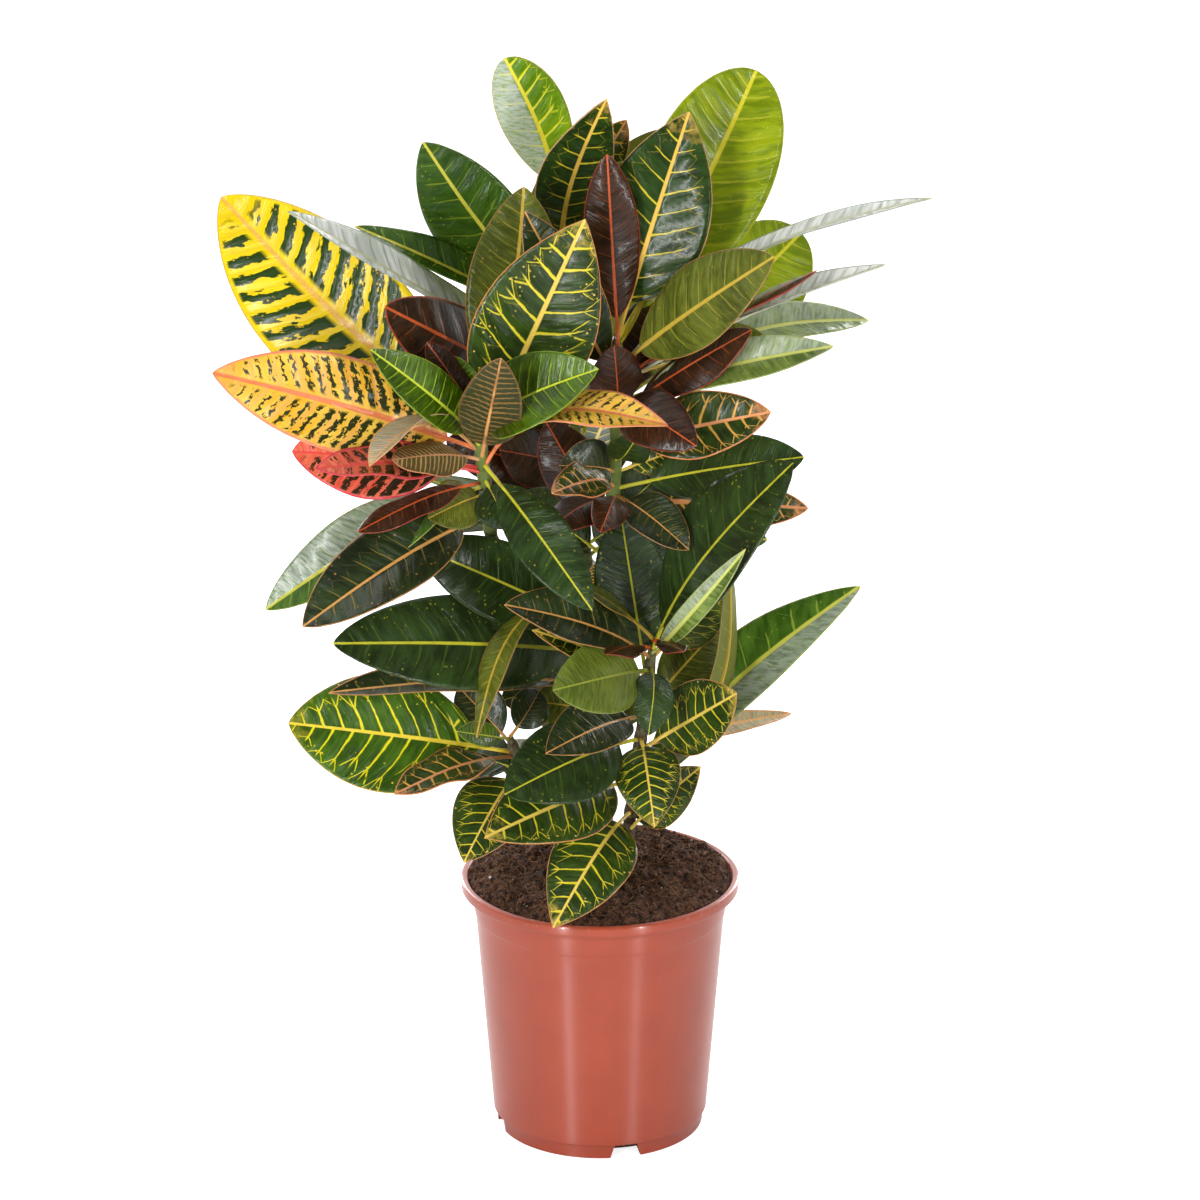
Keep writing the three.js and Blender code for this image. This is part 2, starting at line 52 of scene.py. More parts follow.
# %% [markdown]
# ## The camera
#
# The picture was taken from the front with a long lens, looking down on the plant by 20 degrees. A
# long lens far away keeps the pot's sides almost parallel, so the distance and the focal length are
# set together. The focal length is given in pixels of the square photograph, and becomes
# millimetres on a 36 mm sensor.

# %% camera
PHOTO_PIXELS = 1200
FOCAL_PIXELS = 6059
SENSOR_WIDTH = 36
CAMERA_DISTANCE = 4.5
CAMERA_PITCH = math.radians(20)
LOOK_AT = Vector((0, 0, 0.42))


def make_camera():
    lens = bpy.data.cameras.new("camera")
    lens.sensor_width = SENSOR_WIDTH
    lens.lens = FOCAL_PIXELS / PHOTO_PIXELS * SENSOR_WIDTH
    camera = bpy.data.objects.new("camera", lens)
    back = Vector((0, -math.cos(CAMERA_PITCH), math.sin(CAMERA_PITCH)))
    camera.location = LOOK_AT + CAMERA_DISTANCE * back
    camera.rotation_euler = (math.pi / 2 - CAMERA_PITCH, 0, 0)
    bpy.context.scene.collection.objects.link(camera)
    bpy.context.scene.camera = camera
    return camera


camera = make_camera()
print("camera lens:", round(camera.data.lens, 1), "mm")

# %% [markdown]
# ## Helpers for nodes
#
# A procedural material is arithmetic on coordinates. These few helpers add a node, feed its sockets
# with a number, a colour or another node's output, and hand back the output, so that a material
# reads like a formula.


# %% node helpers
def srgb(code):
    """A given colour, written as six hex digits, as the linear numbers a shader takes."""
    parts = [int(code[index:index + 2], 16) / 255 for index in (0, 2, 4)]
    linear = [part / 12.92 if part <= 0.04045 else ((part + 0.055) / 1.055) ** 2.4 for part in parts]
    return (*linear, 1.0)


def feed(tree, value, socket):
    if isinstance(value, bpy.types.NodeSocket):
        tree.links.new(value, socket)
    elif value is not None:
        socket.default_value = value


def calc(tree, operation, *values):
    node = tree.nodes.new("ShaderNodeMath")
    node.operation = operation
    for socket, value in zip(node.inputs, values):
        feed(tree, value, socket)
    return node.outputs[0]


def smooth(tree, value, low, high, start=0.0, end=1.0):
    """Runs smoothly from start to end while value runs from low to high."""
    node = tree.nodes.new("ShaderNodeMapRange")
    node.interpolation_type = "SMOOTHSTEP"
    for socket, number in zip(node.inputs, (value, low, high, start, end)):
        feed(tree, number, socket)
    return node.outputs[0]


def blend(tree, share, under, over):
    node = tree.nodes.new("ShaderNodeMix")
    node.data_type = "RGBA"
    feed(tree, share, node.inputs[0])
    feed(tree, under, node.inputs[6])
    feed(tree, over, node.inputs[7])
    return node.outputs[2]


def grain(tree, place, scale, detail=3.0, rough=0.55):
    node = tree.nodes.new("ShaderNodeTexNoise")
    feed(tree, place, node.inputs["Vector"])
    feed(tree, scale, node.inputs["Scale"])
    feed(tree, detail, node.inputs["Detail"])
    feed(tree, rough, node.inputs["Roughness"])
    return node.outputs[0]


def cells(tree, place, scale):
    node = tree.nodes.new("ShaderNodeTexVoronoi")
    feed(tree, place, node.inputs["Vector"])
    feed(tree, scale, node.inputs["Scale"])
    return node.outputs["Distance"]


def object_place(tree):
    return tree.nodes.new("ShaderNodeTexCoord").outputs["Object"]


def bump(tree, height, strength, distance):
    node = tree.nodes.new("ShaderNodeBump")
    feed(tree, strength, node.inputs["Strength"])
    feed(tree, distance, node.inputs["Distance"])
    feed(tree, height, node.inputs["Height"])
    return node.outputs[0]


def new_material(name, roughness=0.5, **sockets):
    """A material with its Principled shader, whose uniform values sit on the shader itself."""
    material = bpy.data.materials.new(name)
    material.use_nodes = True
    shader = material.node_tree.nodes["Principled BSDF"]
    shader.inputs["Roughness"].default_value = roughness
    for socket, value in sockets.items():
        shader.inputs[socket.replace("_", " ")].default_value = value
    return material, material.node_tree, shader


print("node helpers ready")

# %% [markdown]
# ## Two ways to draw a closed tube or a turned wall
#
# Stems, leaf stalks and soil fibres are all tubes along a path. A filled circle is made once, and
# its face is extruded from ring to ring, so the tube is closed from its first cap to its last. Each
# corner remembers its angle round the circle, which says where it goes on the next ring. A pot or a
# mound of soil is turned instead: a half section is spun once round the axis, and its two ends meet
# in the poles.


# %% tube and turning
def sweep(mesh, rings, sides):
    """Extrudes a circle through rings, each a centre, a direction across, a direction up and a radius."""
    turn = mesh.verts.layers.float.get("turn") or mesh.verts.layers.float.new("turn")
    circle = bmesh.ops.create_circle(mesh, cap_ends=True, segments=sides, radius=1)["verts"]
    for index, corner in enumerate(circle):
        corner[turn] = 2 * math.pi * index / sides
    face = circle[0].link_faces[0]
    grown = []
    for number, (centre, across, upward, radius) in enumerate(rings):
        if number:
            made = bmesh.ops.extrude_face_region(mesh, geom=[face])["geom"]
            face = next(item for item in made if isinstance(item, bmesh.types.BMFace))
        for corner in face.verts:
            angle = corner[turn]
            corner.co = centre + radius * (math.cos(angle) * across + math.sin(angle) * upward)
        grown.append(list(face.verts))
    return grown


def path_rings(points, radii):
    """Rings square to a path of points, kept from twisting by one steady direction."""
    rings = []
    for index, point in enumerate(points):
        before = points[max(index - 1, 0)]
        after = points[min(index + 1, len(points) - 1)]
        heading = (after - before).normalized()
        steady = Vector((1, 0, 0)) if abs(heading.x) < 0.7 else Vector((0, 0, 1))
        across = heading.cross(steady).normalized()
        rings.append((point, across, heading.cross(across), radii[index]))
    return rings


def turned(mesh, section, steps):
    """Spins a half section of (radius, height) in millimetres once round the pot's axis."""
    corners = [mesh.verts.new((radius * MM, 0, height * MM)) for radius, height in section]
    edges = [mesh.edges.new(pair) for pair in zip(corners, corners[1:])]
    bmesh.ops.spin(mesh, geom=corners + edges, cent=(0, 0, 0), axis=(0, 0, 1), angle=2 * math.pi,
                   steps=steps, use_merge=True)
    bmesh.ops.remove_doubles(mesh, verts=mesh.verts[:], dist=1e-6)


def finished_piece(name, mesh, material, node):
    """Turns a finished bmesh into a smooth piece that rides on the plant and stands for its CAD node."""
    turn = mesh.verts.layers.float.get("turn")
    if turn:
        mesh.verts.layers.float.remove(turn)
    bmesh.ops.recalc_face_normals(mesh, faces=mesh.faces[:])
    data = bpy.data.meshes.new(name)
    mesh.to_mesh(data)
    mesh.free()
    data.materials.append(material)
    data.shade_smooth()
    piece = bpy.data.objects.new(name, data)
    bpy.context.scene.collection.objects.link(piece)
    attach(piece, "root")
    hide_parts(node)
    return piece


print("tube and turning ready")

# %% [markdown]
# ## The pot's plastic
#
# The pot is moulded from one terracotta-coloured plastic with a satin skin. The mould was turned on
# a lathe, so its skin has very fine rings. They pull every highlight up and down into a streak,
# which is anisotropy turned by a quarter. The colour is almost even: slightly deeper in soft
# patches, a little dusty near the soil, with a few fine scuffs.

# %% pot plastic
POT_COLOUR = srgb("aa4830")
POT_SHADE = srgb("a0422c")
POT_DUST = srgb("c08a74")
DUSTY_HEIGHTS = (0.19, 0.2)
CLOUD_SCALE = 26
SPECK_SCALE = 420
SCUFF_SCALE = 700
SCUFF_STRETCH = (0.06, 0.06, 1)
LATHE_RING_SCALE = 2600


def pot_plastic():
    material, tree, shader = new_material("terracotta plastic", 0.32, IOR=1.55, Anisotropic=0.95,
                                          Anisotropic_Rotation=0.25, Coat_Weight=0.4,
                                          Coat_Roughness=0.05)
    place = object_place(tree)
    clouds = grain(tree, place, CLOUD_SCALE, 3)
    specks = grain(tree, place, SPECK_SCALE, 2)
    height = tree.nodes.new("ShaderNodeSeparateXYZ")
    feed(tree, place, height.inputs[0])
    colour = blend(tree, smooth(tree, clouds, 0.2, 0.9), POT_COLOUR, POT_SHADE)
    near_rim = smooth(tree, height.outputs["Z"], *DUSTY_HEIGHTS)
    dust_share = calc(tree, "MULTIPLY_ADD", near_rim, 0.3, 0.03)
    dust = calc(tree, "MULTIPLY", smooth(tree, specks, 0.58, 0.74), dust_share)
    feed(tree, blend(tree, dust, colour, POT_DUST), shader.inputs["Base Color"])
    scuff_place = tree.nodes.new("ShaderNodeMapping")
    feed(tree, place, scuff_place.inputs["Vector"])
    scuff_place.inputs["Scale"].default_value = SCUFF_STRETCH
    scuffs = smooth(tree, grain(tree, scuff_place.outputs[0], SCUFF_SCALE, 2), 0.62, 0.74)
    feed(tree, calc(tree, "MULTIPLY_ADD", scuffs, 0.06, 0.33), shader.inputs["Roughness"])
    rings = calc(tree, "SINE", calc(tree, "MULTIPLY", height.outputs["Z"], LATHE_RING_SCALE))
    relief = calc(tree, "MULTIPLY_ADD", rings, 0.1, calc(tree, "MULTIPLY", specks, 0.25))
    feed(tree, bump(tree, relief, 0.1, 0.0004), shader.inputs["Normal"])
    return material


terracotta = pot_plastic()
print("finish:", terracotta.name)

# %% [markdown]
# ## The pot
#
# One half section goes up the outside and down the inside: a recessed foot, a slightly widening
# wall with a moulded step, and a rolled rim band that stands out like a skirt. Spinning it gives
# the whole wall with its real thickness. Four drainage notches are cut through the foot afterwards,
# because a spin can only make what is round.

# %% pot
RIM_RADIUS = 105
RIM_INNER_RADIUS = 100
RIM_ROUNDING = 2.2
FLARE_RADIUS = 101.4
POT_HEIGHT = 200
BAND_BOTTOM = 191.5
NECK_RADIUS = 96.5
NECK_INNER_RADIUS = 94.9
WALL_FOOT_RADIUS = 81.2
FOOT_RADIUS = 78.2
FOOT_HEIGHT = 11.6
STEP_HEIGHT = 171.5
STEP_DEPTH = 0.8
WALL = 2.2
REST_DISC_RADIUS = 30
FLOOR_RAISE = 4
FLOOR_TOP = 6.5
POT_STEPS = 160
NOTCH_TURN = 14.5
NOTCH_COUNT = 4
NOTCH_TOP_WIDTH = 17
NOTCH_BOTTOM_WIDTH = 25
NOTCH_BOTTOM = -2
NOTCH_MIDDLE = 72
NOTCH_REACH = 26
NOTCH_ROUNDING = 2.5
EDGE_ROUNDING = 0.8
SHARP_ANGLE = 38


def arc(radius, height, rounding, start, end, steps=5):
    """Points of a round corner in the section, from one angle to another in degrees."""
    angles = [math.radians(start + (end - start) * step / steps) for step in range(steps + 1)]
    return [(radius + rounding * math.cos(angle), height + rounding * math.sin(angle)) for angle in angles]


def wall_radius(height):
    slope = (NECK_RADIUS - WALL_FOOT_RADIUS) / (BAND_BOTTOM - FOOT_HEIGHT)
    return WALL_FOOT_RADIUS + slope * (height - FOOT_HEIGHT)


def pot_section():
    inner_foot = FOOT_RADIUS - 6
    step = wall_radius(STEP_HEIGHT)
    section = [(0, 0), (REST_DISC_RADIUS, 0), (REST_DISC_RADIUS + 5, FLOOR_RAISE)]
    section += [(inner_foot - 1, FLOOR_RAISE), (inner_foot - 0.2, 1)]
    section += arc(inner_foot + 0.7, EDGE_ROUNDING, EDGE_ROUNDING, 180, 270, 3)
    section += arc(FOOT_RADIUS - EDGE_ROUNDING, EDGE_ROUNDING, EDGE_ROUNDING, 270, 355, 3)
    section += [(FOOT_RADIUS + 0.5, FOOT_HEIGHT - 1.4), (FOOT_RADIUS + 1.0, FOOT_HEIGHT - 0.8)]
    section += arc(WALL_FOOT_RADIUS - 1.2, FOOT_HEIGHT + 0.8, 1.2, 280, 355, 4)
    section += [(wall_radius(height) - STEP_DEPTH * (height / STEP_HEIGHT), height)
                for height in range(16, 171, 12)]
    section += [(step - STEP_DEPTH, STEP_HEIGHT - 0.3), (step - STEP_DEPTH + 0.1, STEP_HEIGHT + 0.1)]
    section += [(step - 0.1, STEP_HEIGHT + 0.7), (step + 0.02, STEP_HEIGHT + 1.2)]
    section += [(wall_radius(height), height) for height in (178, 185, BAND_BOTTOM)]
    section += [(FLARE_RADIUS, POT_HEIGHT - 2.8), (RIM_RADIUS - 2.6, POT_HEIGHT - 2.8)]
    section += [(RIM_RADIUS - 2.0, BAND_BOTTOM + 0.8)]
    section += arc(RIM_RADIUS - 1.0, BAND_BOTTOM + 0.9, EDGE_ROUNDING, 200, 330, 4)
    section += [(RIM_RADIUS, BAND_BOTTOM + 2.5)]
    section += arc(RIM_RADIUS - RIM_ROUNDING, POT_HEIGHT - RIM_ROUNDING, RIM_ROUNDING, 0, 85, 6)
    section += arc(RIM_INNER_RADIUS + 1.2, POT_HEIGHT - 1.2, 1.2, 95, 175, 4)
    section += [(NECK_INNER_RADIUS, BAND_BOTTOM), (step - WALL - STEP_DEPTH, STEP_HEIGHT)]
    section += [(FOOT_RADIUS, FOOT_HEIGHT + 2), (FOOT_RADIUS - 2, FLOOR_TOP)]
    section += [(REST_DISC_RADIUS + 6, FLOOR_TOP), (REST_DISC_RADIUS + 1, FLOOR_TOP - FLOOR_RAISE)]
    return section + [(0, FLOOR_TOP - FLOOR_RAISE)]


def notch_cutter():
    """Four tapered blocks with rounded upper corners, all in one mesh."""
    mesh = bmesh.new()
    for index in range(NOTCH_COUNT):
        block = bmesh.ops.create_cube(mesh, size=1)["verts"]
        for corner in block:
            wide, height = NOTCH_BOTTOM_WIDTH, NOTCH_BOTTOM
            if corner.co.z > 0:
                wide, height = NOTCH_TOP_WIDTH, FOOT_HEIGHT
            outward = NOTCH_MIDDLE + corner.co.y * NOTCH_REACH
            corner.co = Vector((corner.co.x * wide, outward, height)) * MM
        tops = [edge for corner in block for edge in corner.link_edges
                if all(end.co.z > 0 for end in edge.verts)
                and abs(edge.verts[0].co.y - edge.verts[1].co.y) > MM]
        made = bmesh.ops.bevel(mesh, geom=list(set(tops)), offset=NOTCH_ROUNDING * MM, affect="EDGES",
                               segments=4, profile=0.5, material=-1)
        whole = list({corner for corner in block if corner.is_valid} | set(made["verts"]))
        turn = Matrix.Rotation(math.radians(NOTCH_TURN + index * 360 / NOTCH_COUNT), 3, "Z")
        bmesh.ops.rotate(mesh, verts=whole, cent=(0, 0, 0), matrix=turn)
    bmesh.ops.recalc_face_normals(mesh, faces=mesh.faces[:])
    data = bpy.data.meshes.new("notches")
    mesh.to_mesh(data)
    mesh.free()
    cutter = bpy.data.objects.new("notches", data)
    bpy.context.scene.collection.objects.link(cutter)
    return cutter


def make_pot():
    mesh = bmesh.new()
    turned(mesh, pot_section(), POT_STEPS)
    pot = finished_piece("nursery_pot", mesh, terracotta, "pot")
    cutter = notch_cutter()
    cut = pot.modifiers.new("notches", "BOOLEAN")
    cut.operation = "DIFFERENCE"
    cut.solver = "EXACT"
    cut.object = cutter
    depsgraph = bpy.context.evaluated_depsgraph_get()
    whole = pot.data
    pot.data = bpy.data.meshes.new_from_object(pot.evaluated_get(depsgraph))
    pot.modifiers.clear()
    bpy.data.meshes.remove(whole)
    bpy.data.objects.remove(cutter)
    pot.data.name = "nursery_pot"
    pot.data.set_sharp_from_angle(angle=math.radians(SHARP_ANGLE))
    return pot


pot = make_pot()
print("pot faces:", len(pot.data.polygons))

# %% [markdown]
# ## The potting soil
#
# Potting soil is dark peat with crumbs, pale fibres, bits of bark and a few white grains of
# perlite. Its surface is a mound, high at the stems and lower at the rim. The mound is turned, then
# each of its points is lifted or sunk by noise. On it lie loose crumbs, fibres and grains, which
# are many, so each has only a few faces.

# %% soil finishes
SOIL_DARK = srgb("0e0706")
SOIL_BROWN = srgb("6c4936")
SOIL_PALE = srgb("a8866e")
CLUMP_SCALE = 210
GRIT_SCALE = 520
PALE_GRAIN_SCALE = 620


def soil_finish(name, dark, light, rough=0.95):
    material, tree, shader = new_material(name, rough, Specular_IOR_Level=0.25)
    place = object_place(tree)
    clumps = grain(tree, place, CLUMP_SCALE, 5, 0.75)
    grit = cells(tree, place, GRIT_SCALE)
    colour = blend(tree, smooth(tree, clumps, 0.34, 0.68), dark, light)
    pale = smooth(tree, grain(tree, place, PALE_GRAIN_SCALE, 2), 0.62, 0.72, 0.0, 0.6)
    feed(tree, blend(tree, pale, colour, SOIL_PALE), shader.inputs["Base Color"])
    relief = calc(tree, "MULTIPLY_ADD", grit, 0.8, clumps)
    feed(tree, bump(tree, relief, 0.9, 0.0012), shader.inputs["Normal"])
    return material


peat = soil_finish("moist peat", SOIL_DARK, SOIL_BROWN)
fibre_finish = soil_finish("peat fibre", srgb("6a4a34"), srgb("b08a64"), 0.8)
bark_chip_finish = soil_finish("bark chips", srgb("3a2219"), srgb("6e4630"), 0.85)
perlite_finish = soil_finish("perlite", srgb("d8d2c6"), srgb("f2eee6"), 0.9)
print("soil finishes: peat, fibre, bark chips, perlite")

# %% soil
SOIL_EDGE_RADIUS = 98.9
SOIL_EDGE_HEIGHT = 198.2
SOIL_MOUND = 14
SOIL_SHOULDER = 4
SOIL_RINGS = 46
SOIL_STEPS = 190
SOIL_BUMP = 1.6
CLOD_HEIGHT = 4.2
CLOD_WIDTH = 14
GRAIN_HEIGHT = 1.3
GRAIN_WIDTH = 3.2
CALM_RIM = 14
SOIL_BOTTOM = 3.2
SOIL_FOOT = 7.2
RING_CROWDING = 0.92


def soil_height(x, y):
    """Height of the soil in millimetres at a place in millimetres."""
    reach = max(0.0, 1 - math.hypot(x, y) / SOIL_EDGE_RADIUS)
    lump = math.sin(x / 9 + 1.3) * math.cos(y / 11 - 0.4) + 0.5 * math.sin((x + y) / 6)
    clods = noise.fractal(Vector((x / CLOD_WIDTH, y / CLOD_WIDTH, 3.7)), 0.9, 2.1, 5)
    grains = noise.noise(Vector((x / GRAIN_WIDTH, y / GRAIN_WIDTH, 9.1)))
    calm = min(1.0, reach * CALM_RIM)
    rough = (0.5 + 0.5 * calm) * (CLOD_HEIGHT * clods + GRAIN_HEIGHT * grains)
    mound = SOIL_MOUND * (1 - (1 - reach) ** SOIL_SHOULDER)
    return SOIL_EDGE_HEIGHT + mound + calm * SOIL_BUMP * lump + rough


def make_soil():
    mesh = bmesh.new()
    section = [(0, SOIL_BOTTOM), (REST_DISC_RADIUS, SOIL_BOTTOM)]
    section += [(REST_DISC_RADIUS + 6, SOIL_FOOT), (FOOT_RADIUS - 2.6, SOIL_FOOT)]
    section += [(wall_radius(STEP_HEIGHT) - WALL - 1.4, STEP_HEIGHT)]
    section += [(NECK_INNER_RADIUS - 0.5, BAND_BOTTOM)]
    section += [(SOIL_EDGE_RADIUS * (1 - ring / SOIL_RINGS) ** RING_CROWDING, SOIL_EDGE_HEIGHT)
                for ring in range(SOIL_RINGS + 1)]
    turned(mesh, section, SOIL_STEPS)
    for corner in mesh.verts:
        if corner.co.z > (SOIL_EDGE_HEIGHT - 1) * MM:
            corner.co.z = soil_height(corner.co.x / MM, corner.co.y / MM) * MM
    return finished_piece("soil_mound", mesh, peat, "soil")


soil = make_soil()
print("soil faces:", len(soil.data.polygons))

# %% loose bits on the soil
SOIL_SEED = 41
CRUMB_COUNT = 2400
FIBRE_COUNT = 420
CHIP_COUNT = 90
PERLITE_COUNT = 26
LUMP_UNEVENNESS = 0.3
LUMP_TILT = 0.6
FIBRE_LENGTHS = (5, 20)
FIBRE_LIFT = 4.5
FIBRE_BEND = 0.9
FIBRE_RADII = (0.1, 0.16, 0.15, 0.12, 0.06)


def soil_place(draw, edge=SOIL_EDGE_RADIUS - 2):
    radius = edge * math.sqrt(draw.random())
    angle = draw.uniform(0, 2 * math.pi)
    x, y = radius * math.cos(angle), radius * math.sin(angle)
    return Vector((x, y, soil_height(x, y))) * MM


def make_lumps(name, count, smallest, largest, flatness, material, draw, subdivisions=1):
    """Small uneven lumps, half sunk in the soil, all in one piece."""
    mesh = bmesh.new()
    for _ in range(count):
        size = smallest + (largest - smallest) * draw.random() ** 2
        lump = bmesh.ops.create_icosphere(mesh, subdivisions=subdivisions, radius=size / 2 * MM)["verts"]
        for corner in lump:
            corner.co *= 1 + draw.uniform(-LUMP_UNEVENNESS, LUMP_UNEVENNESS)
        stretch = Vector((1, draw.uniform(0.55, 0.95), flatness * draw.uniform(0.7, 1.2)))
        bmesh.ops.scale(mesh, verts=lump, vec=stretch)
        turn = Matrix.Rotation(draw.uniform(0, math.pi), 3, "Z")
        tilt = Matrix.Rotation(draw.uniform(-LUMP_TILT, LUMP_TILT), 3, "X")
        bmesh.ops.rotate(mesh, verts=lump, cent=(0, 0, 0), matrix=turn @ tilt)
        bmesh.ops.translate(mesh, verts=lump, vec=soil_place(draw))
    return finished_piece(name, mesh, material, "soil")


def make_fibres(draw):
    """Pale root and coir fibres, short bent hairs that lie on the soil and stick up a little."""
    mesh = bmesh.new()
    for _ in range(FIBRE_COUNT):
        start = soil_place(draw, SOIL_EDGE_RADIUS - 8)
        length = draw.uniform(*FIBRE_LENGTHS) * MM
        heading = draw.uniform(0, 2 * math.pi)
        bend = draw.uniform(-FIBRE_BEND, FIBRE_BEND)
        lift = draw.uniform(0.0, FIBRE_LIFT) * MM
        points = []
        for step in range(len(FIBRE_RADII)):
            share = step / (len(FIBRE_RADII) - 1)
            angle = heading + bend * share
            flat = start + share * length * Vector((math.cos(angle), math.sin(angle), 0))
            radius = math.hypot(flat.x, flat.y) / MM
            flat *= min(1.0, (SOIL_EDGE_RADIUS - 2) / max(radius, 1))
            ground = soil_height(flat.x / MM, flat.y / MM) * MM
            points.append(Vector((flat.x, flat.y, ground + 0.4 * MM + lift * math.sin(share * math.pi))))
        radii = [radius * MM for radius in FIBRE_RADII]
        sweep(mesh, path_rings(points, radii), 4)
    return finished_piece("soil_fibres", mesh, fibre_finish, "soil")


draw = random.Random(SOIL_SEED)
loose_bits = [
    make_lumps("soil_crumbs", CRUMB_COUNT, 1.2, 6.0, 0.8, peat, draw),
    make_lumps("soil_bark_chips", CHIP_COUNT, 3.0, 8.0, 0.3, bark_chip_finish, draw),
    make_lumps("soil_perlite", PERLITE_COUNT, 0.8, 2.6, 0.85, perlite_finish, draw, 2),
    make_fibres(draw),
]
print("loose bits on the soil:", sum(len(bit.data.polygons) for bit in loose_bits), "faces")

# %% [markdown]
# ## The plant's skeleton
#
# Each stem is a few points with a radius, from its foot in the soil to its growing tip. Each leaf
# is one row: the height where it leaves the stem, where its tip is, how wide its blade is, how far
# it arches up and sways sideways, how its upper face is turned, the habit of its blade, and its
# finish.

# %% stems and leaves in millimetres
STEMS = {
    "lowLeft": [(-24, -12, 120, 5), (-24, -12, 214, 5), (-42, -40, 270, 4.6), (-63, -60, 322, 4.2),
                (-68, -66, 342, 2.4)],
    "midRight": [(18, -18, 120, 5), (18, -18, 214, 5), (26, -34, 290, 4.8), (36, -56, 380, 4.4),
                 (39, -62, 412, 2.4)],
    "centre": [(4, 8, 120, 6), (4, 8, 214, 6), (2, -10, 400, 5.4), (10, -32, 520, 5), (14, -15, 600, 4.4),
               (13, -8, 634, 2.4)],
    "upperLeft": [(-15, 16, 120, 6), (-15, 16, 214, 6), (-50, -8, 380, 5.4), (-80, -34, 480, 5),
                  (-87, -45, 556, 4.4), (-87, -47, 584, 2.4)],
    "back": [(0, 38, 120, 5.4), (0, 38, 214, 5.4), (-10, 60, 420, 5), (-24, 78, 600, 4.4),
             (-30, 84, 690, 4), (-31, 85, 712, 2.4)],
}
STEM_NODES = {
    "lowLeft": "leafy_stem_low_left",
    "midRight": "leafy_stem_mid_right",
    "centre": "leafy_stem_centre",
    "upperLeft": "leafy_stem_upper_left",
    "back": "leafy_stem_back",
}
HABITS = {
    "flat": dict(fold=0.08, wave=1.5, waves=1.5, point=0.76),
    "pointed": dict(fold=0.12, wave=1.5, waves=1.5, point=0.92),
    "round": dict(fold=0.1, wave=1.5, waves=1.5, point=0.54),
    "folded": dict(fold=0.32, wave=1.5, waves=1.5, point=0.8),
    "wavy": dict(fold=0.18, wave=2.6, waves=2, point=0.8),
    "curled": dict(fold=-0.25, wave=2, waves=1.5, point=0.72),
}
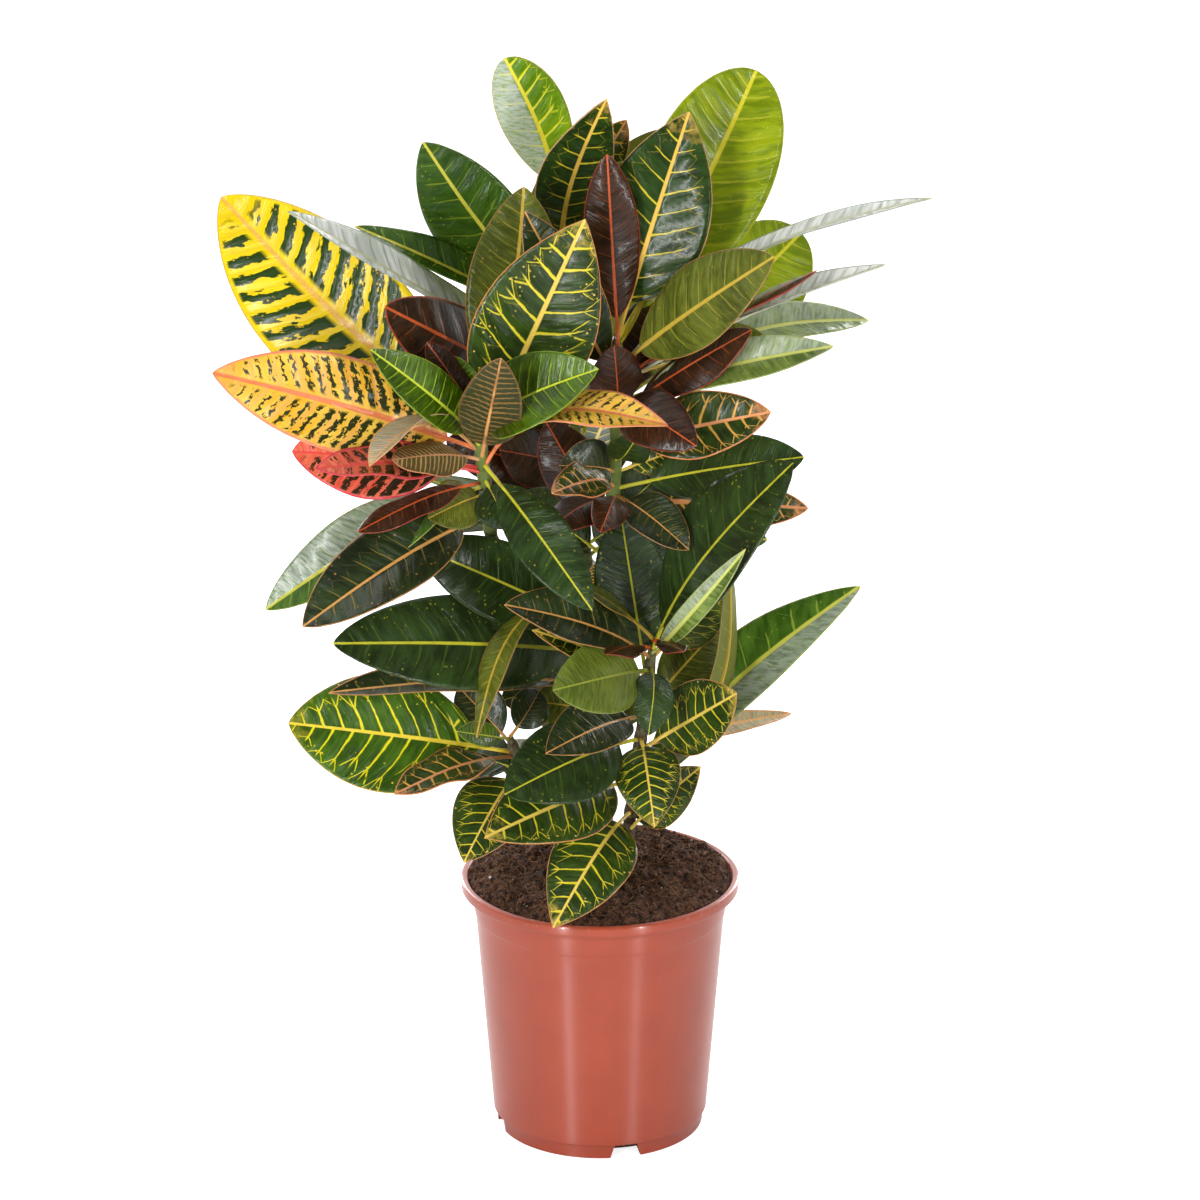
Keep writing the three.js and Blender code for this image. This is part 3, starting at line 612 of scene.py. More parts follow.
LEAVES = {
    "lowLeft": [
        (322, -230, -85, 355, 92, 5, 0, 55, 0, "flat", "bright_net"),
        (318, -150, -140, 320, 38, 8, 0, 20, 0, "wavy", "peach_net"),
        (308, -100, -125, 260, 56, 12, 0, 60, -10, "pointed", "yellow_net"),
        (334, -105, -115, 360, 20, 0, 0, 60, 0, "folded", "young"),
        (328, -105, -36, 365, 38, 4, 0, 60, 0, "folded", "peach_rib"),
        (336, -45, -45, 365, 30, 8, 0, 70, 10, "folded", "peach_rib"),
        (300, -110, -10, 300, 44, 8, 0, 40, 0, "flat", "dark_green"),
        (275, -65, 10, 305, 40, 8, 0, 40, 0, "flat", "olive"),
    ],
    "midRight": [
        (345, -40, -135, 350, 46, 10, 0, 45, 0, "folded", "peach_rib"),
        (326, -70, -140, 320, 66, 12, 0, 50, 0, "flat", "dark_green"),
        (290, -85, -150, 290, 68, 10, 0, 50, 0, "pointed", "yellow_net"),
        (262, -35, -130, 210, 62, 22, 0, 50, 0, "pointed", "yellow_net"),
        (328, 40, -118, 285, 50, 14, 0, 55, 0, "pointed", "yellow_net"),
        (245, 75, -70, 315, 40, 8, 0, 60, 0, "pointed", "yellow_net"),
        (262, 195, 5, 430, 58, 26, 0, 40, -20, "folded", "green_painted_reflection"),
        (318, 145, 25, 320, 18, 6, 0, 45, 0, "folded", "cream"),
        (316, 100, -115, 390, 54, 0, 0, 60, 0, "flat", "yellow_net"),
        (300, 95, -50, 465, 44, -32, 0, -60, -60, "flat", "olive"),
        (400, 105, -138, 510, 18, 18, 0, 75, 0, "folded", "sage"),
        (395, 90, 5, 430, 46, -5, 0, 60, 0, "flat", "olive_net"),
        (350, 90, 0, 400, 40, 5, 0, 60, 0, "flat", "olive"),
        (388, 35, -112, 355, 32, 14, 0, 70, 10, "flat", "dark_green"),
        (386, -35, -150, 405, 56, 12, 0, 65, 0, "flat", "olive_smooth"),
        (404, 5, -142, 430, 24, 4, 0, 15, 0, "curled", "maroon"),
        (410, 60, -124, 425, 20, 4, 0, 15, 0, "curled", "maroon"),
        (412, -45, -80, 475, 38, 6, 0, 0, 20, "flat", "olive"),
        (400, 140, -108, 565, 84, 16, 0, 45, -35, "flat", "dark_green"),
        (396, -70, -120, 460, 47, 12, 0, 40, 0, "folded", "peach_rib"),
        (380, -50, -105, 435, 30, 6, 0, 45, 0, "pointed", "yellow_net"),
        (372, 15, -44, 505, 56, 4, 0, 78, 0, "flat", "dark_green"),
        (365, 95, 48, 335, 44, 8, 0, 40, 0, "flat", "dark_green"),
    ],
    "centre": [
        (425, -90, -120, 355, 32, 40, 0, 40, -45, "flat", "olive"),
        (518, 150, -38, 545, 52, 6, 0, 50, 0, "flat", "dark_green"),
        (508, 155, 5, 490, 40, 8, 0, 60, 0, "wavy", "peach_net"),
        (494, 125, 20, 460, 36, 8, 0, 60, 0, "folded", "glossy_green"),
        (514, 65, -88, 490, 36, 8, 0, 45, 0, "folded", "peach_rib"),
        (488, 75, -20, 425, 42, 8, 0, 70, 0, "flat", "dark_green"),
        (530, -30, -58, 545, 40, 10, 0, 60, 0, "folded", "peach_rib"),
        (520, -35, -120, 545, 32, 10, 0, 50, 0, "wavy", "peach_net"),
        (506, 0, -105, 510, 28, 14, 0, 70, 0, "curled", "maroon"),
        (540, 30, -75, 580, 32, 8, 0, 60, 15, "flat", "dark_green"),
        (560, 35, -10, 575, 34, 5, 0, 60, 0, "curled", "maroon"),
        (530, 70, -8, 545, 28, 6, 0, 70, 0, "pointed", "yellow_net"),
        (566, 10, -52, 635, 40, 6, 0, 70, 10, "curled", "maroon"),
        (508, -35, -95, 510, 40, 8, 0, 20, 0, "curled", "maroon"),
        (470, -10, -45, 425, 20, 4, 0, 70, 0, "wavy", "orange_dash"),
        (400, -135, -62, 485, 60, 8, 0, 60, 0, "flat", "dark_green"),
        (380, -195, -120, 430, 76, 10, 0, 50, 0, "flat", "dark_green"),
        (355, -200, -90, 380, 42, 8, 0, 20, 0, "folded", "peach_rib"),
        (590, -55, -30, 730, 47, 10, 0, 65, 0, "folded", "peach_rib"),
        (628, 65, 5, 795, 84, 8, 0, 72, -5, "pointed", "yellow_rib"),
        (626, 115, 65, 810, 94, 5, 4, 72, 5, "round", "lime"),
        (622, 10, 10, 755, 50, 4, 24, 72, 0, "round", "lime"),
        (616, 5, -20, 770, 42, 5, 0, 72, 0, "curled", "maroon"),
        (602, 240, -50, 745, 30, 30, 0, 8, 0, "folded", "white_painted_reflection"),
        (592, 205, -98, 710, 38, 9, 0, 10, 0, "folded", "white_painted_reflection"),
        (606, 125, -95, 715, 64, 6, 0, 50, 0, "flat", "olive"),
        (596, 155, -112, 710, 32, 4, 0, 10, 0, "curled", "maroon"),
        (594, 150, 85, 680, 84, 5, 6, 75, 0, "round", "lime"),
        (572, 110, -62, 650, 38, 4, 0, 40, 0, "curled", "maroon"),
        (598, 120, -28, 635, 46, 4, 0, 70, 0, "flat", "olive"),
        (580, 200, 55, 620, 42, 34, 0, 35, 0, "folded", "sage"),
        (580, 170, -55, 635, 36, 12, 0, 45, 0, "folded", "sage"),
        (548, 125, -55, 585, 50, 10, 0, 60, 0, "wavy", "peach_net"),
        (576, 70, -105, 575, 46, 24, 0, 60, 0, "curled", "maroon"),
        (460, -60, 10, 500, 46, 8, 0, 70, 0, "flat", "dark_green"),
        (480, -40, 0, 560, 46, 6, 0, 70, 0, "curled", "maroon"),
        (330, -50, -40, 355, 44, 8, 0, 60, 0, "flat", "olive"),
        (568, 40, 12, 655, 40, 6, 0, 70, 0, "curled", "maroon"),
        (490, 50, -20, 530, 44, 8, 0, 60, 0, "flat", "dark_green"),
    ],
    "back": [
        (684, 20, 70, 770, 36, 4, 0, 72, 0, "wavy", "peach_net"),
        (664, 5, -16, 810, 54, 4, -9, 70, 10, "pointed", "yellow_rib"),
        (694, -70, 60, 820, 52, 5, 7, 70, 0, "round", "green_half_painted_reflection"),
        (565, -225, -65, 740, 46, 2, 0, 25, 0, "folded", "white_painted_reflection"),
        (600, -180, 14, 705, 40, 6, 0, 25, 0, "folded", "glossy_green"),
        (620, -130, 48, 760, 70, 6, -6, 75, -15, "flat", "glossy_green"),
        (545, -155, -86, 675, 64, 6, 0, 60, 0, "curled", "maroon"),
        (420, -140, 140, 470, 60, 14, 0, -40, 0, "flat", "dark_green"),
        (430, 120, 160, 450, 72, 14, 0, -40, 0, "flat", "dark_green"),
        (450, 10, 210, 500, 70, 20, 0, -35, 0, "pointed", "yellow_net"),
        (470, -190, 110, 560, 76, 14, 0, -30, 0, "wavy", "orange_dash"),
        (480, 115, 110, 540, 72, 14, 0, -30, 0, "wavy", "peach_net"),
        (500, -70, 190, 570, 70, 20, 0, -35, 0, "pointed", "yellow_rib"),
        (510, 85, 180, 600, 72, 20, 0, -35, 0, "flat", "dark_green"),
        (540, -120, 150, 670, 76, 12, 0, -55, 0, "pointed", "bright_net"),
        (560, 40, 170, 690, 74, 12, 0, -60, 0, "round", "lime"),
        (600, -20, 150, 740, 70, 8, 0, -70, 0, "pointed", "yellow_rib"),
        (640, 60, 120, 750, 60, 8, 0, -70, 0, "flat", "olive"),
        (380, -60, 180, 400, 66, 16, 0, -30, 0, "pointed", "yellow_net"),
        (350, 60, 170, 370, 64, 16, 0, -30, 0, "flat", "dark_green"),
        (330, -110, 120, 330, 46, 12, 0, -30, 0, "pointed", "bright_net"),
        (300, 100, 110, 300, 46, 12, 0, -30, 0, "pointed", "yellow_net"),
        (290, -20, 150, 290, 46, 14, 0, -30, 0, "wavy", "peach_net"),
        (400, 95, 70, 395, 64, 12, 0, -20, 0, "folded", "peach_rib"),
        (455, -150, 60, 440, 60, 10, 0, -10, 0, "flat", "dark_green"),
        (520, -65, 70, 560, 46, 6, 0, 70, 0, "flat", "dark_green"),
        (500, -75, 22, 530, 46, 6, 0, 60, 0, "curled", "maroon"),
        (440, 40, 35, 480, 46, 8, 0, 60, 0, "flat", "dark_green"),
        (490, -115, 30, 535, 46, 8, 0, 60, 0, "curled", "maroon"),
        (470, -100, 35, 485, 46, 8, 0, 50, 0, "flat", "dark_green"),
        (390, 35, 20, 385, 46, 8, 0, 50, 0, "flat", "dark_green"),
        (315, 40, 25, 325, 46, 8, 0, 40, 0, "flat", "olive"),
        (330, -75, 25, 330, 46, 8, 0, 40, 0, "flat", "dark_green"),
    ],
    "upperLeft": [
        (536, 50, -118, 595, 48, 34, 0, 20, 0, "wavy", "orange_dash"),
        (566, -280, 60, 715, 108, 6, -7, 75, 0, "flat", "yellow_blotch"),
        (552, -280, -85, 625, 72, 6, 3, 65, 0, "wavy", "orange_dash"),
        (578, -55, 0, 740, 70, 5, 7, 75, 0, "flat", "olive"),
        (558, -10, -65, 735, 90, 6, 0, 68, 8, "pointed", "yellow_net"),
        (560, 0, -108, 635, 58, 22, 0, 50, 0, "folded", "young"),
        (570, -125, -75, 645, 26, 8, 0, 50, 0, "curled", "maroon"),
        (555, -165, -108, 650, 38, 14, 0, 55, 0, "folded", "young"),
        (574, -105, -62, 630, 24, 2, 0, 70, 0, "folded", "young"),
        (546, -70, -128, 650, 47, -8, 0, -110, 0, "curled", "stripe_dark"),
        (548, -165, -135, 570, 38, 28, 0, 20, -30, "folded", "cream"),
        (538, -225, -55, 555, 66, 6, 0, 60, 0, "wavy", "salmon"),
        (534, -205, -125, 565, 38, 8, 0, 30, 0, "wavy", "salmon"),
        (544, -150, -105, 565, 34, 6, 0, 40, 0, "curled", "striped"),
        (526, -175, -120, 515, 26, 8, 0, 30, 0, "curled", "maroon"),
        (516, -125, -75, 510, 40, 8, 0, 60, 0, "flat", "olive"),
        (524, -245, -78, 440, 50, 20, 0, 50, 0, "folded", "green_painted_reflection"),
        (500, -215, -142, 450, 60, 14, 0, 45, 0, "folded", "peach_rib"),
        (542, -5, -135, 460, 44, 16, 0, 60, 0, "flat", "dark_green"),
        (530, -65, -70, 500, 36, 6, 0, 70, 0, "flat", "dark_green"),
    ],
}
print("leaves:", sum(len(rows) for rows in LEAVES.values()), "on", len(STEMS), "stems")

# %% [markdown]
# ## The pattern inside every leaf
#
# A croton leaf is patterned by its veins. From the midrib, ten or more side veins leave on each
# side, run straight towards the margin and fork shortly before it. So all finishes share one node
# group. It reads two attributes that each blade carries: leaf_plan, the place along and across in
# leaf lengths, and leaf_share, the shares along and across with a mark for the underside. The group
# gives masks, and each finish chooses its colours for them: green with yellow veins, orange with
# dark dashes between the veins, and so on. Every vein draws its own luck, so some are strong and
# long, and others are faint.

# %% pattern values and helpers
VEIN_COUNT = 11
VEIN_SLANT = 0.45
VEIN_CURVE = 0.8
FORK_LENGTH = 0.3
FORK_SPREAD = 1.7
FORK_START = 0.06
FORK_FADE = 0.16
VEIN_FADE = 0.2
VEIN_JAG_SCALE = 170
FORK_BREAK_SCALE = 130
VEIN_WANDER_SCALE = 42
MARGIN_SCALE = 150
SPOT_SCALE = 230
SPOT_GROUP_SCALE = 75
TIP_SCALE = 120
PORE_SCALE = 500
TONE_SCALE = 24
# The last input and the ninth output paint a pale reflection onto one half of a blade.
PATTERN_INPUTS = {"Veins": VEIN_COUNT, "Vein width": 0.06, "Vein reach": 0.8, "Rib width": 0.011,
                  "Margin width": 0.006, "Forks": 0.7, "Blotch reach": 0.5, "Dashes": 0.0,
                  "Painted reflection side": 0.0}
PATTERN_OUTPUTS = ["Rib", "Vein", "Margin", "Blotch", "Speckle", "Tip", "Under", "Tone", "Painted reflection", "Height"]


def carried_vector(tree, name):
    node = tree.nodes.new("ShaderNodeAttribute")
    node.attribute_name = name
    parts = tree.nodes.new("ShaderNodeSeparateXYZ")
    feed(tree, node.outputs["Vector"], parts.inputs[0])
    return parts.outputs


def joined_vector(tree, *parts):
    node = tree.nodes.new("ShaderNodeCombineXYZ")
    for socket, part in zip(node.inputs, parts):
        feed(tree, part, socket)
    return node.outputs[0]


def draw_luck(tree, value):
    """One random number from 0 to 1 for each whole value."""
    node = tree.nodes.new("ShaderNodeTexWhiteNoise")
    node.noise_dimensions = "1D"
    feed(tree, value, node.inputs["W"])
    return node.outputs["Value"]


def line_distance(tree, phase):
    """How far a phase is from the nearest half, in periods: 0 on a vein, 0.5 midway between two."""
    return calc(tree, "ABSOLUTE", calc(tree, "SUBTRACT", calc(tree, "FRACT", phase), 0.5))


def inverse(tree, value):
    return calc(tree, "SUBTRACT", 1.0, value)


def times(tree, first, *others):
    for other in others:
        first = calc(tree, "MULTIPLY", first, other)
    return first


def scaled(tree, value, factor, offset):
    return calc(tree, "MULTIPLY_ADD", value, factor, offset)


def line(tree, distance, width, solid, gone):
    """A soft line: whole up to one share of its width, and gone at another."""
    return inverse(tree, smooth(tree, distance, times(tree, width, solid), times(tree, width, gone)))


print("pattern helpers ready")


# %% side veins
def side_veins(tree, given, phase, edge_share, luck, place):
    """The side veins: thick at the midrib, thinner outwards, and forked where they end."""
    distance = line_distance(tree, phase)
    jagged = scaled(tree, grain(tree, place, VEIN_JAG_SCALE, 2), 1.4, 0.3)
    tapering = scaled(tree, edge_share, -0.75, 1.3)
    width = times(tree, given["Vein width"], tapering, scaled(tree, luck, 0.7, 0.65), jagged)
    second_luck = calc(tree, "FRACT", times(tree, luck, 7.3))
    end = times(tree, given["Vein reach"], scaled(tree, second_luck, 0.35, 0.72))
    start_fork = calc(tree, "SUBTRACT", end, FORK_LENGTH)
    fading = inverse(tree, smooth(tree, edge_share, calc(tree, "SUBTRACT", end, VEIN_FADE), end))
    vein = line(tree, distance, width, 0.5, 1.25)
    past_fork = calc(tree, "MAXIMUM", calc(tree, "SUBTRACT", edge_share, start_fork), 0.0)
    spread = times(tree, past_fork, FORK_SPREAD)
    off_fork = calc(tree, "ABSOLUTE", calc(tree, "SUBTRACT", distance, spread))
    begun = smooth(tree, edge_share, start_fork, calc(tree, "ADD", start_fork, FORK_START))
    not_ended = inverse(tree, smooth(tree, edge_share, end, calc(tree, "ADD", end, FORK_FADE)))
    unbroken = smooth(tree, grain(tree, place, FORK_BREAK_SCALE, 2), 0.28, 0.42)
    fork = line(tree, off_fork, width, 0.35, 1.1)
    fork = times(tree, fork, given["Forks"], begun, not_ended, unbroken)
    return distance, calc(tree, "MAXIMUM", times(tree, vein, fading), fork)


print("side veins ready")


# %% blotches
def blotches(tree, given, phase, distance, off_rib, blade_share, from_edge, seed):
    """Blotches between the veins, drawn out along them, or two rows of dashes in each band."""
    rows = inverse(tree, times(tree, line_distance(tree, times(tree, phase, 2)), 2))
    between = calc(tree, "MULTIPLY", distance, 2)
    mixed = calc(tree, "MULTIPLY_ADD", given["Dashes"], calc(tree, "SUBTRACT", rows, between), between)
    across = times(tree, phase, scaled(tree, given["Dashes"], 1.4, 1.5))
    outward = times(tree, off_rib, given["Veins"], scaled(tree, given["Dashes"], 1.6, 0.7))
    ragged = grain(tree, joined_vector(tree, across, outward, times(tree, seed, 13)), 2.2, 3, 0.6)
    unrest = times(tree, scaled(tree, ragged, 2.4, -1.2), scaled(tree, given["Dashes"], 0.5, 1.0))
    value = calc(tree, "ADD", mixed, unrest)
    value = calc(tree, "SUBTRACT", value, scaled(tree, blade_share, 0.7, -0.35))
    threshold = inverse(tree, given["Blotch reach"])
    blotch = smooth(tree, value, threshold, calc(tree, "ADD", threshold, 0.12))
    clear_of_rib = smooth(tree, off_rib, 0.012, 0.028)
    clear_of_edge = smooth(tree, from_edge, 0.008, 0.02)
    before_tip = inverse(tree, smooth(tree, blade_share, 0.86, 0.97))
    return times(tree, blotch, clear_of_rib, clear_of_edge, before_tip)


print("blotches ready")


# %% leaf pattern group
def leaf_pattern():
    group = bpy.data.node_groups.new("leaf pattern", "ShaderNodeTree")
    for name, value in PATTERN_INPUTS.items():
        socket = group.interface.new_socket(name, in_out="INPUT", socket_type="NodeSocketFloat")
        socket.default_value = value
    for name in PATTERN_OUTPUTS:
        group.interface.new_socket(name, in_out="OUTPUT", socket_type="NodeSocketFloat")
    given = group.nodes.new("NodeGroupInput").outputs
    result = group.nodes.new("NodeGroupOutput").inputs
    along, sideways, seed = carried_vector(group, "leaf_plan")
    blade_share, across_share, under = carried_vector(group, "leaf_share")
    place = object_place(group)
    off_rib = calc(group, "ABSOLUTE", sideways)
    edge_share = calc(group, "ABSOLUTE", across_share)
    right = calc(group, "GREATER_THAN", sideways, 0.0)
    lean_back = calc(group, "MULTIPLY_ADD", off_rib, VEIN_CURVE, VEIN_SLANT)
    reach = calc(group, "SUBTRACT", along, times(group, off_rib, lean_back))
    phase = calc(group, "MULTIPLY_ADD", reach, given["Veins"], seed)
    phase = calc(group, "MULTIPLY_ADD", right, 0.5, phase)
    wander = scaled(group, grain(group, place, VEIN_WANDER_SCALE, 2), 0.3, -0.15)
    phase = calc(group, "ADD", phase, wander)
    side_and_leaf = calc(group, "MULTIPLY_ADD", seed, 31, times(group, right, 7))
    luck = draw_luck(group, calc(group, "ADD", calc(group, "FLOOR", phase), side_and_leaf))
    distance, veins = side_veins(group, given, phase, edge_share, luck, place)
    rib_width = times(group, given["Rib width"], scaled(group, blade_share, -0.5, 1.0))
    rib = line(group, off_rib, rib_width, 0.65, 1.15)
    from_edge = calc(group, "DIVIDE", times(group, inverse(group, edge_share), off_rib),
                     calc(group, "MAXIMUM", edge_share, 0.05))
    uneven = scaled(group, grain(group, place, MARGIN_SCALE, 2), 1.4, 0.3)
    margin = line(group, from_edge, times(group, given["Margin width"], uneven), 0.5, 1.4)
    blotch = blotches(group, given, phase, distance, off_rib, blade_share, from_edge, seed)
    dots = inverse(group, smooth(group, cells(group, place, SPOT_SCALE), 0.13, 0.24))
    dot_groups = smooth(group, grain(group, place, SPOT_GROUP_SCALE, 2), 0.47, 0.56)
    dots = times(group, dots, dot_groups, smooth(group, edge_share, 0.2, 0.7))
    ragged_tip = scaled(group, grain(group, place, TIP_SCALE, 3), 0.5, -0.25)
    tip = calc(group, "ADD", blade_share, ragged_tip)
    along_veins, outwards = times(group, phase, 1.7), times(group, off_rib, 5)
    ridges = grain(group, joined_vector(group, along_veins, outwards, times(group, seed, 9)), 2.4, 2)
    relief = calc(group, "MULTIPLY_ADD", grain(group, place, PORE_SCALE, 2), 0.12, ridges)
    relief = calc(group, "MULTIPLY_ADD", veins, -0.25, relief)
    clouds = times(group, grain(group, place, TONE_SCALE, 4), 0.55)
    tone = calc(group, "MULTIPLY_ADD", ridges, 0.45, clouds)
    # Painted reflection: pale streaks on one half of the blade stand in for the bright room mirrored in the
    # waxy skin. The side input chooses the half.
    fine_veins, far_outwards = times(group, phase, 2.5), times(group, off_rib, 9)
    streaks = grain(group, joined_vector(group, fine_veins, far_outwards, seed), 3, 3)
    off_side = calc(group, "SUBTRACT", inverse(group, right), given["Painted reflection side"])
    painted_reflection = times(group, calc(group, "ABSOLUTE", off_side), smooth(group, streaks, 0.3, 0.62, 0.35, 1.0),
                  smooth(group, edge_share, 0.02, 0.14))
    made = {"Rib": rib, "Vein": veins, "Margin": margin, "Blotch": blotch, "Speckle": dots,
            "Tip": smooth(group, tip, 0.86, 1.02), "Under": under, "Tone": tone, "Painted reflection": painted_reflection,
            "Height": relief}
    for name, value in made.items():
        feed(group, value, result[name])
    return group


pattern = leaf_pattern()
print("leaf pattern group:", len(pattern.nodes), "nodes")

# %% [markdown]
# ## The leaf finishes
#
# One plant carries all of these at once, because croton leaves change as they age: young ones are
# bright green, then yellow veins appear, and old ones turn orange, salmon or maroon. Each finish
# lists its colours and how wide its veins, midrib and margin are. The wax on the blade is a
# thin coat over a fairly smooth skin.

# %% leaf finishes
# Some finishes paint light, not leaf colour: one paints whole blades pale grey-white as a reflection of the
# bright room, and some paint that reflection onto one half of a blade.
FINISHES = {
    "dark_green": dict(
        lamina="1e2c10", second="30461c", vein="5c741e", rib="c4c034", margin="38461a", under="5c6c2c",
        widths=(0.035, 0.0078, 0.003), forks=0.3, reach=0.75, vein_show=0.4, speckle=0.45),
    "bright_net": dict(
        lamina="2c480c", second="476c12", vein="e4d81c", rib="ecd040", margin="c4a040", under="88943c",
        widths=(0.055, 0.011, 0.004), forks=0.95, reach=0.95, vein_show=1.0, speckle=0.9, tip=0.2,
        veins=12),
    "yellow_net": dict(
        lamina="20320c", second="364e12", vein="dccc2c", rib="e8c858", margin="cc8848", under="868a3c",
        widths=(0.055, 0.013, 0.004), forks=0.95, reach=0.95, vein_show=1.0, speckle=0.8, tip=0.5),
    "peach_net": dict(
        lamina="202e0e", second="364a14", vein="e4ac4c", rib="e89c64", margin="dc8850", under="907c44",
        widths=(0.07, 0.015, 0.007), forks=0.8, reach=0.95, vein_show=0.95, speckle=0.6, tip=0.6,
        veins=10),
    "yellow_rib": dict(
        lamina="1a2c0e", second="2d4616", vein="dcc834", rib="e8be54", margin="c4946a", under="707c3c",
        widths=(0.04, 0.012, 0.004), forks=0.3, reach=0.8, vein_show=0.85, speckle=0.3, tip=0.45,
        shine=0.12),
    "peach_rib": dict(
        lamina="182210", second="2a3a16", vein="907c30", rib="d69c56", margin="b07a48", under="6a6a38",
        widths=(0.035, 0.0088, 0.004), forks=0.3, reach=0.75, vein_show=0.55, speckle=0.5),
    "young": dict(
        lamina="2c4202", second="4c6a04", vein="98b41c", rib="c4d038", margin="8ca01c", under="7c9c30",
        widths=(0.045, 0.0095, 0.003), forks=0.2, reach=0.98, vein_show=0.85, veins=15),
    "lime": dict(
        lamina="6c8204", second="98a80c", vein="c0c02c", rib="dcd030", margin="a8ac28", under="8ca034",
        widths=(0.045, 0.013, 0.004), forks=0.2, reach=1.0, vein_show=0.6, speckle=0.4, veins=13),
    "olive": dict(
        lamina="464e14", second="6a7224", vein="b0a430", rib="ccac40", margin="9c7038", under="787c38",
        widths=(0.03, 0.012, 0.004), forks=0.2, reach=0.95, vein_show=0.6, speckle=0.3, veins=13),
    "olive_smooth": dict(
        lamina="4c5c10", second="6e7c2a", vein="8c9438", rib="98a038", margin="848c3c", under="787c38",
        widths=(0.03, 0.009, 0.003), forks=0.0, reach=0.9, vein_show=0.2, veins=13),
    "olive_net": dict(
        lamina="2c3c0e", second="485a18", vein="d4c434", rib="dcb850", margin="c8884c", under="828440",
        widths=(0.055, 0.013, 0.004), forks=0.8, reach=0.95, vein_show=0.9, speckle=0.6),
    "glossy_green": dict(
        lamina="28460c", second="3e6016", vein="94a82c", rib="ccc444", margin="607828", under="6c843c",
        widths=(0.035, 0.012, 0.003), forks=0.3, reach=0.85, vein_show=0.5, speckle=0.35, rough=0.22),
    # A green leaf with a pale reflection painted onto one half of each blade.
    "green_painted_reflection": dict(
        lamina="30500e", second="4e701e", vein="9cb040", rib="c8c850", margin="909c48", under="6c843c",
        widths=(0.035, 0.012, 0.003), forks=0.3, reach=0.85, vein_show=0.6, speckle=0.3, rough=0.22,
        painted_reflection=0.5, painted_reflection_side=1.0),
    "maroon": dict(
        lamina="26160b", second="422612", vein="90461e", rib="cc5c2c", margin="a03a28", under="603624",
        widths=(0.03, 0.0085, 0.004), forks=0.2, reach=0.8, vein_show=0.6, speckle=0.2),
    # Painted reflection: the whole blade is pale grey-white, standing in for edge-on leaves that mirror the
    # bright room.
    "white_painted_reflection": dict(
        lamina="b8beb4", second="e6e8e2", vein="7c8474", rib="c0c09c", margin="98a08c", under="b0b4a8",
        widths=(0.12, 0.010, 0.004), forks=0.0, reach=1.1, vein_show=0.45, rough=0.22, veins=20),
    # This finish paints a pale reflection onto one half of each blade.
    "sage": dict(
        lamina="4a601c", second="788c40", vein="a8b858", rib="c4c868", margin="a0a868", under="8c9c64",
        widths=(0.035, 0.012, 0.004), forks=0.3, reach=0.9, vein_show=0.5, speckle=0.2, rough=0.22,
        painted_reflection=0.45),
    "orange_dash": dict(
        lamina="ecb028", second="f4c850", vein="eeae58", rib="e4804c", margin="e88c64", under="dca45c",
        blotch="26300e", widths=(0.14, 0.014, 0.010), forks=0.0, reach=1.1, vein_show=0.6,
        blotch_reach=0.45, dashes=1.0, tip=0.4, speckle=0.3, veins=11),
    "yellow_blotch": dict(
        lamina="f0cc04", second="f8dc14", vein="f0d62c", rib="ecb848", margin="e0b840", under="d8cc54",
        blotch="24400a", widths=(0.12, 0.012, 0.004), forks=0.0, reach=1.1, vein_show=0.6,
        blotch_reach=0.7, dashes=0.0, speckle=0.95, veins=15),
    "salmon": dict(
        lamina="d04c38", second="e4785a", vein="e06a4c", rib="e05048", margin="d43c4c", under="cc7468",
        blotch="26200e", widths=(0.12, 0.014, 0.010), forks=0.0, reach=1.1, vein_show=0.6,
        blotch_reach=0.62, dashes=0.2, tip=0.4, speckle=0.3, veins=13),
    "striped": dict(
        lamina="4c4020", second="665428", vein="c4a468", rib="dca070", margin="c88458", under="887848",
        widths=(0.16, 0.012, 0.008), forks=0.0, reach=1.1, vein_show=0.85, tip=0.5, veins=22),
    "stripe_dark": dict(
        lamina="2c3412", second="3e4418", vein="b88848", rib="cc9458", margin="c88450", under="363a1a",
        widths=(0.16, 0.012, 0.010), forks=0.0, reach=1.1, vein_show=0.8, tip=0.3, veins=24),
    "cream": dict(
        lamina="948c70", second="c4bc9c", vein="d8a468", rib="e4b074", margin="d49860", under="b8b094",
        widths=(0.14, 0.013, 0.010), forks=0.0, reach=1.1, vein_show=0.8, tip=0.5, veins=20),
    # A bright green leaf with yellow veins, with a pale reflection painted onto one half of each blade.
    "green_half_painted_reflection": dict(
        lamina="58800a", second="7ea014", vein="e4e028", rib="ecdc40", margin="c4b050", under="98a848",
        widths=(0.075, 0.016, 0.005), forks=0.5, reach=1.0, vein_show=0.9, speckle=0.5, rough=0.22,
        painted_reflection=0.85),
}
# Pale grey-white for the reflection painted onto leaf halves.
PAINTED_REFLECTION_COLOUR = srgb("c4ccc0")
LEAF_ROUGHNESS = 0.3
LEAF_SHINE = 0.32
UNDERSIDE_SHARE = 0.85
UNDERSIDE_MARKS = 0.4


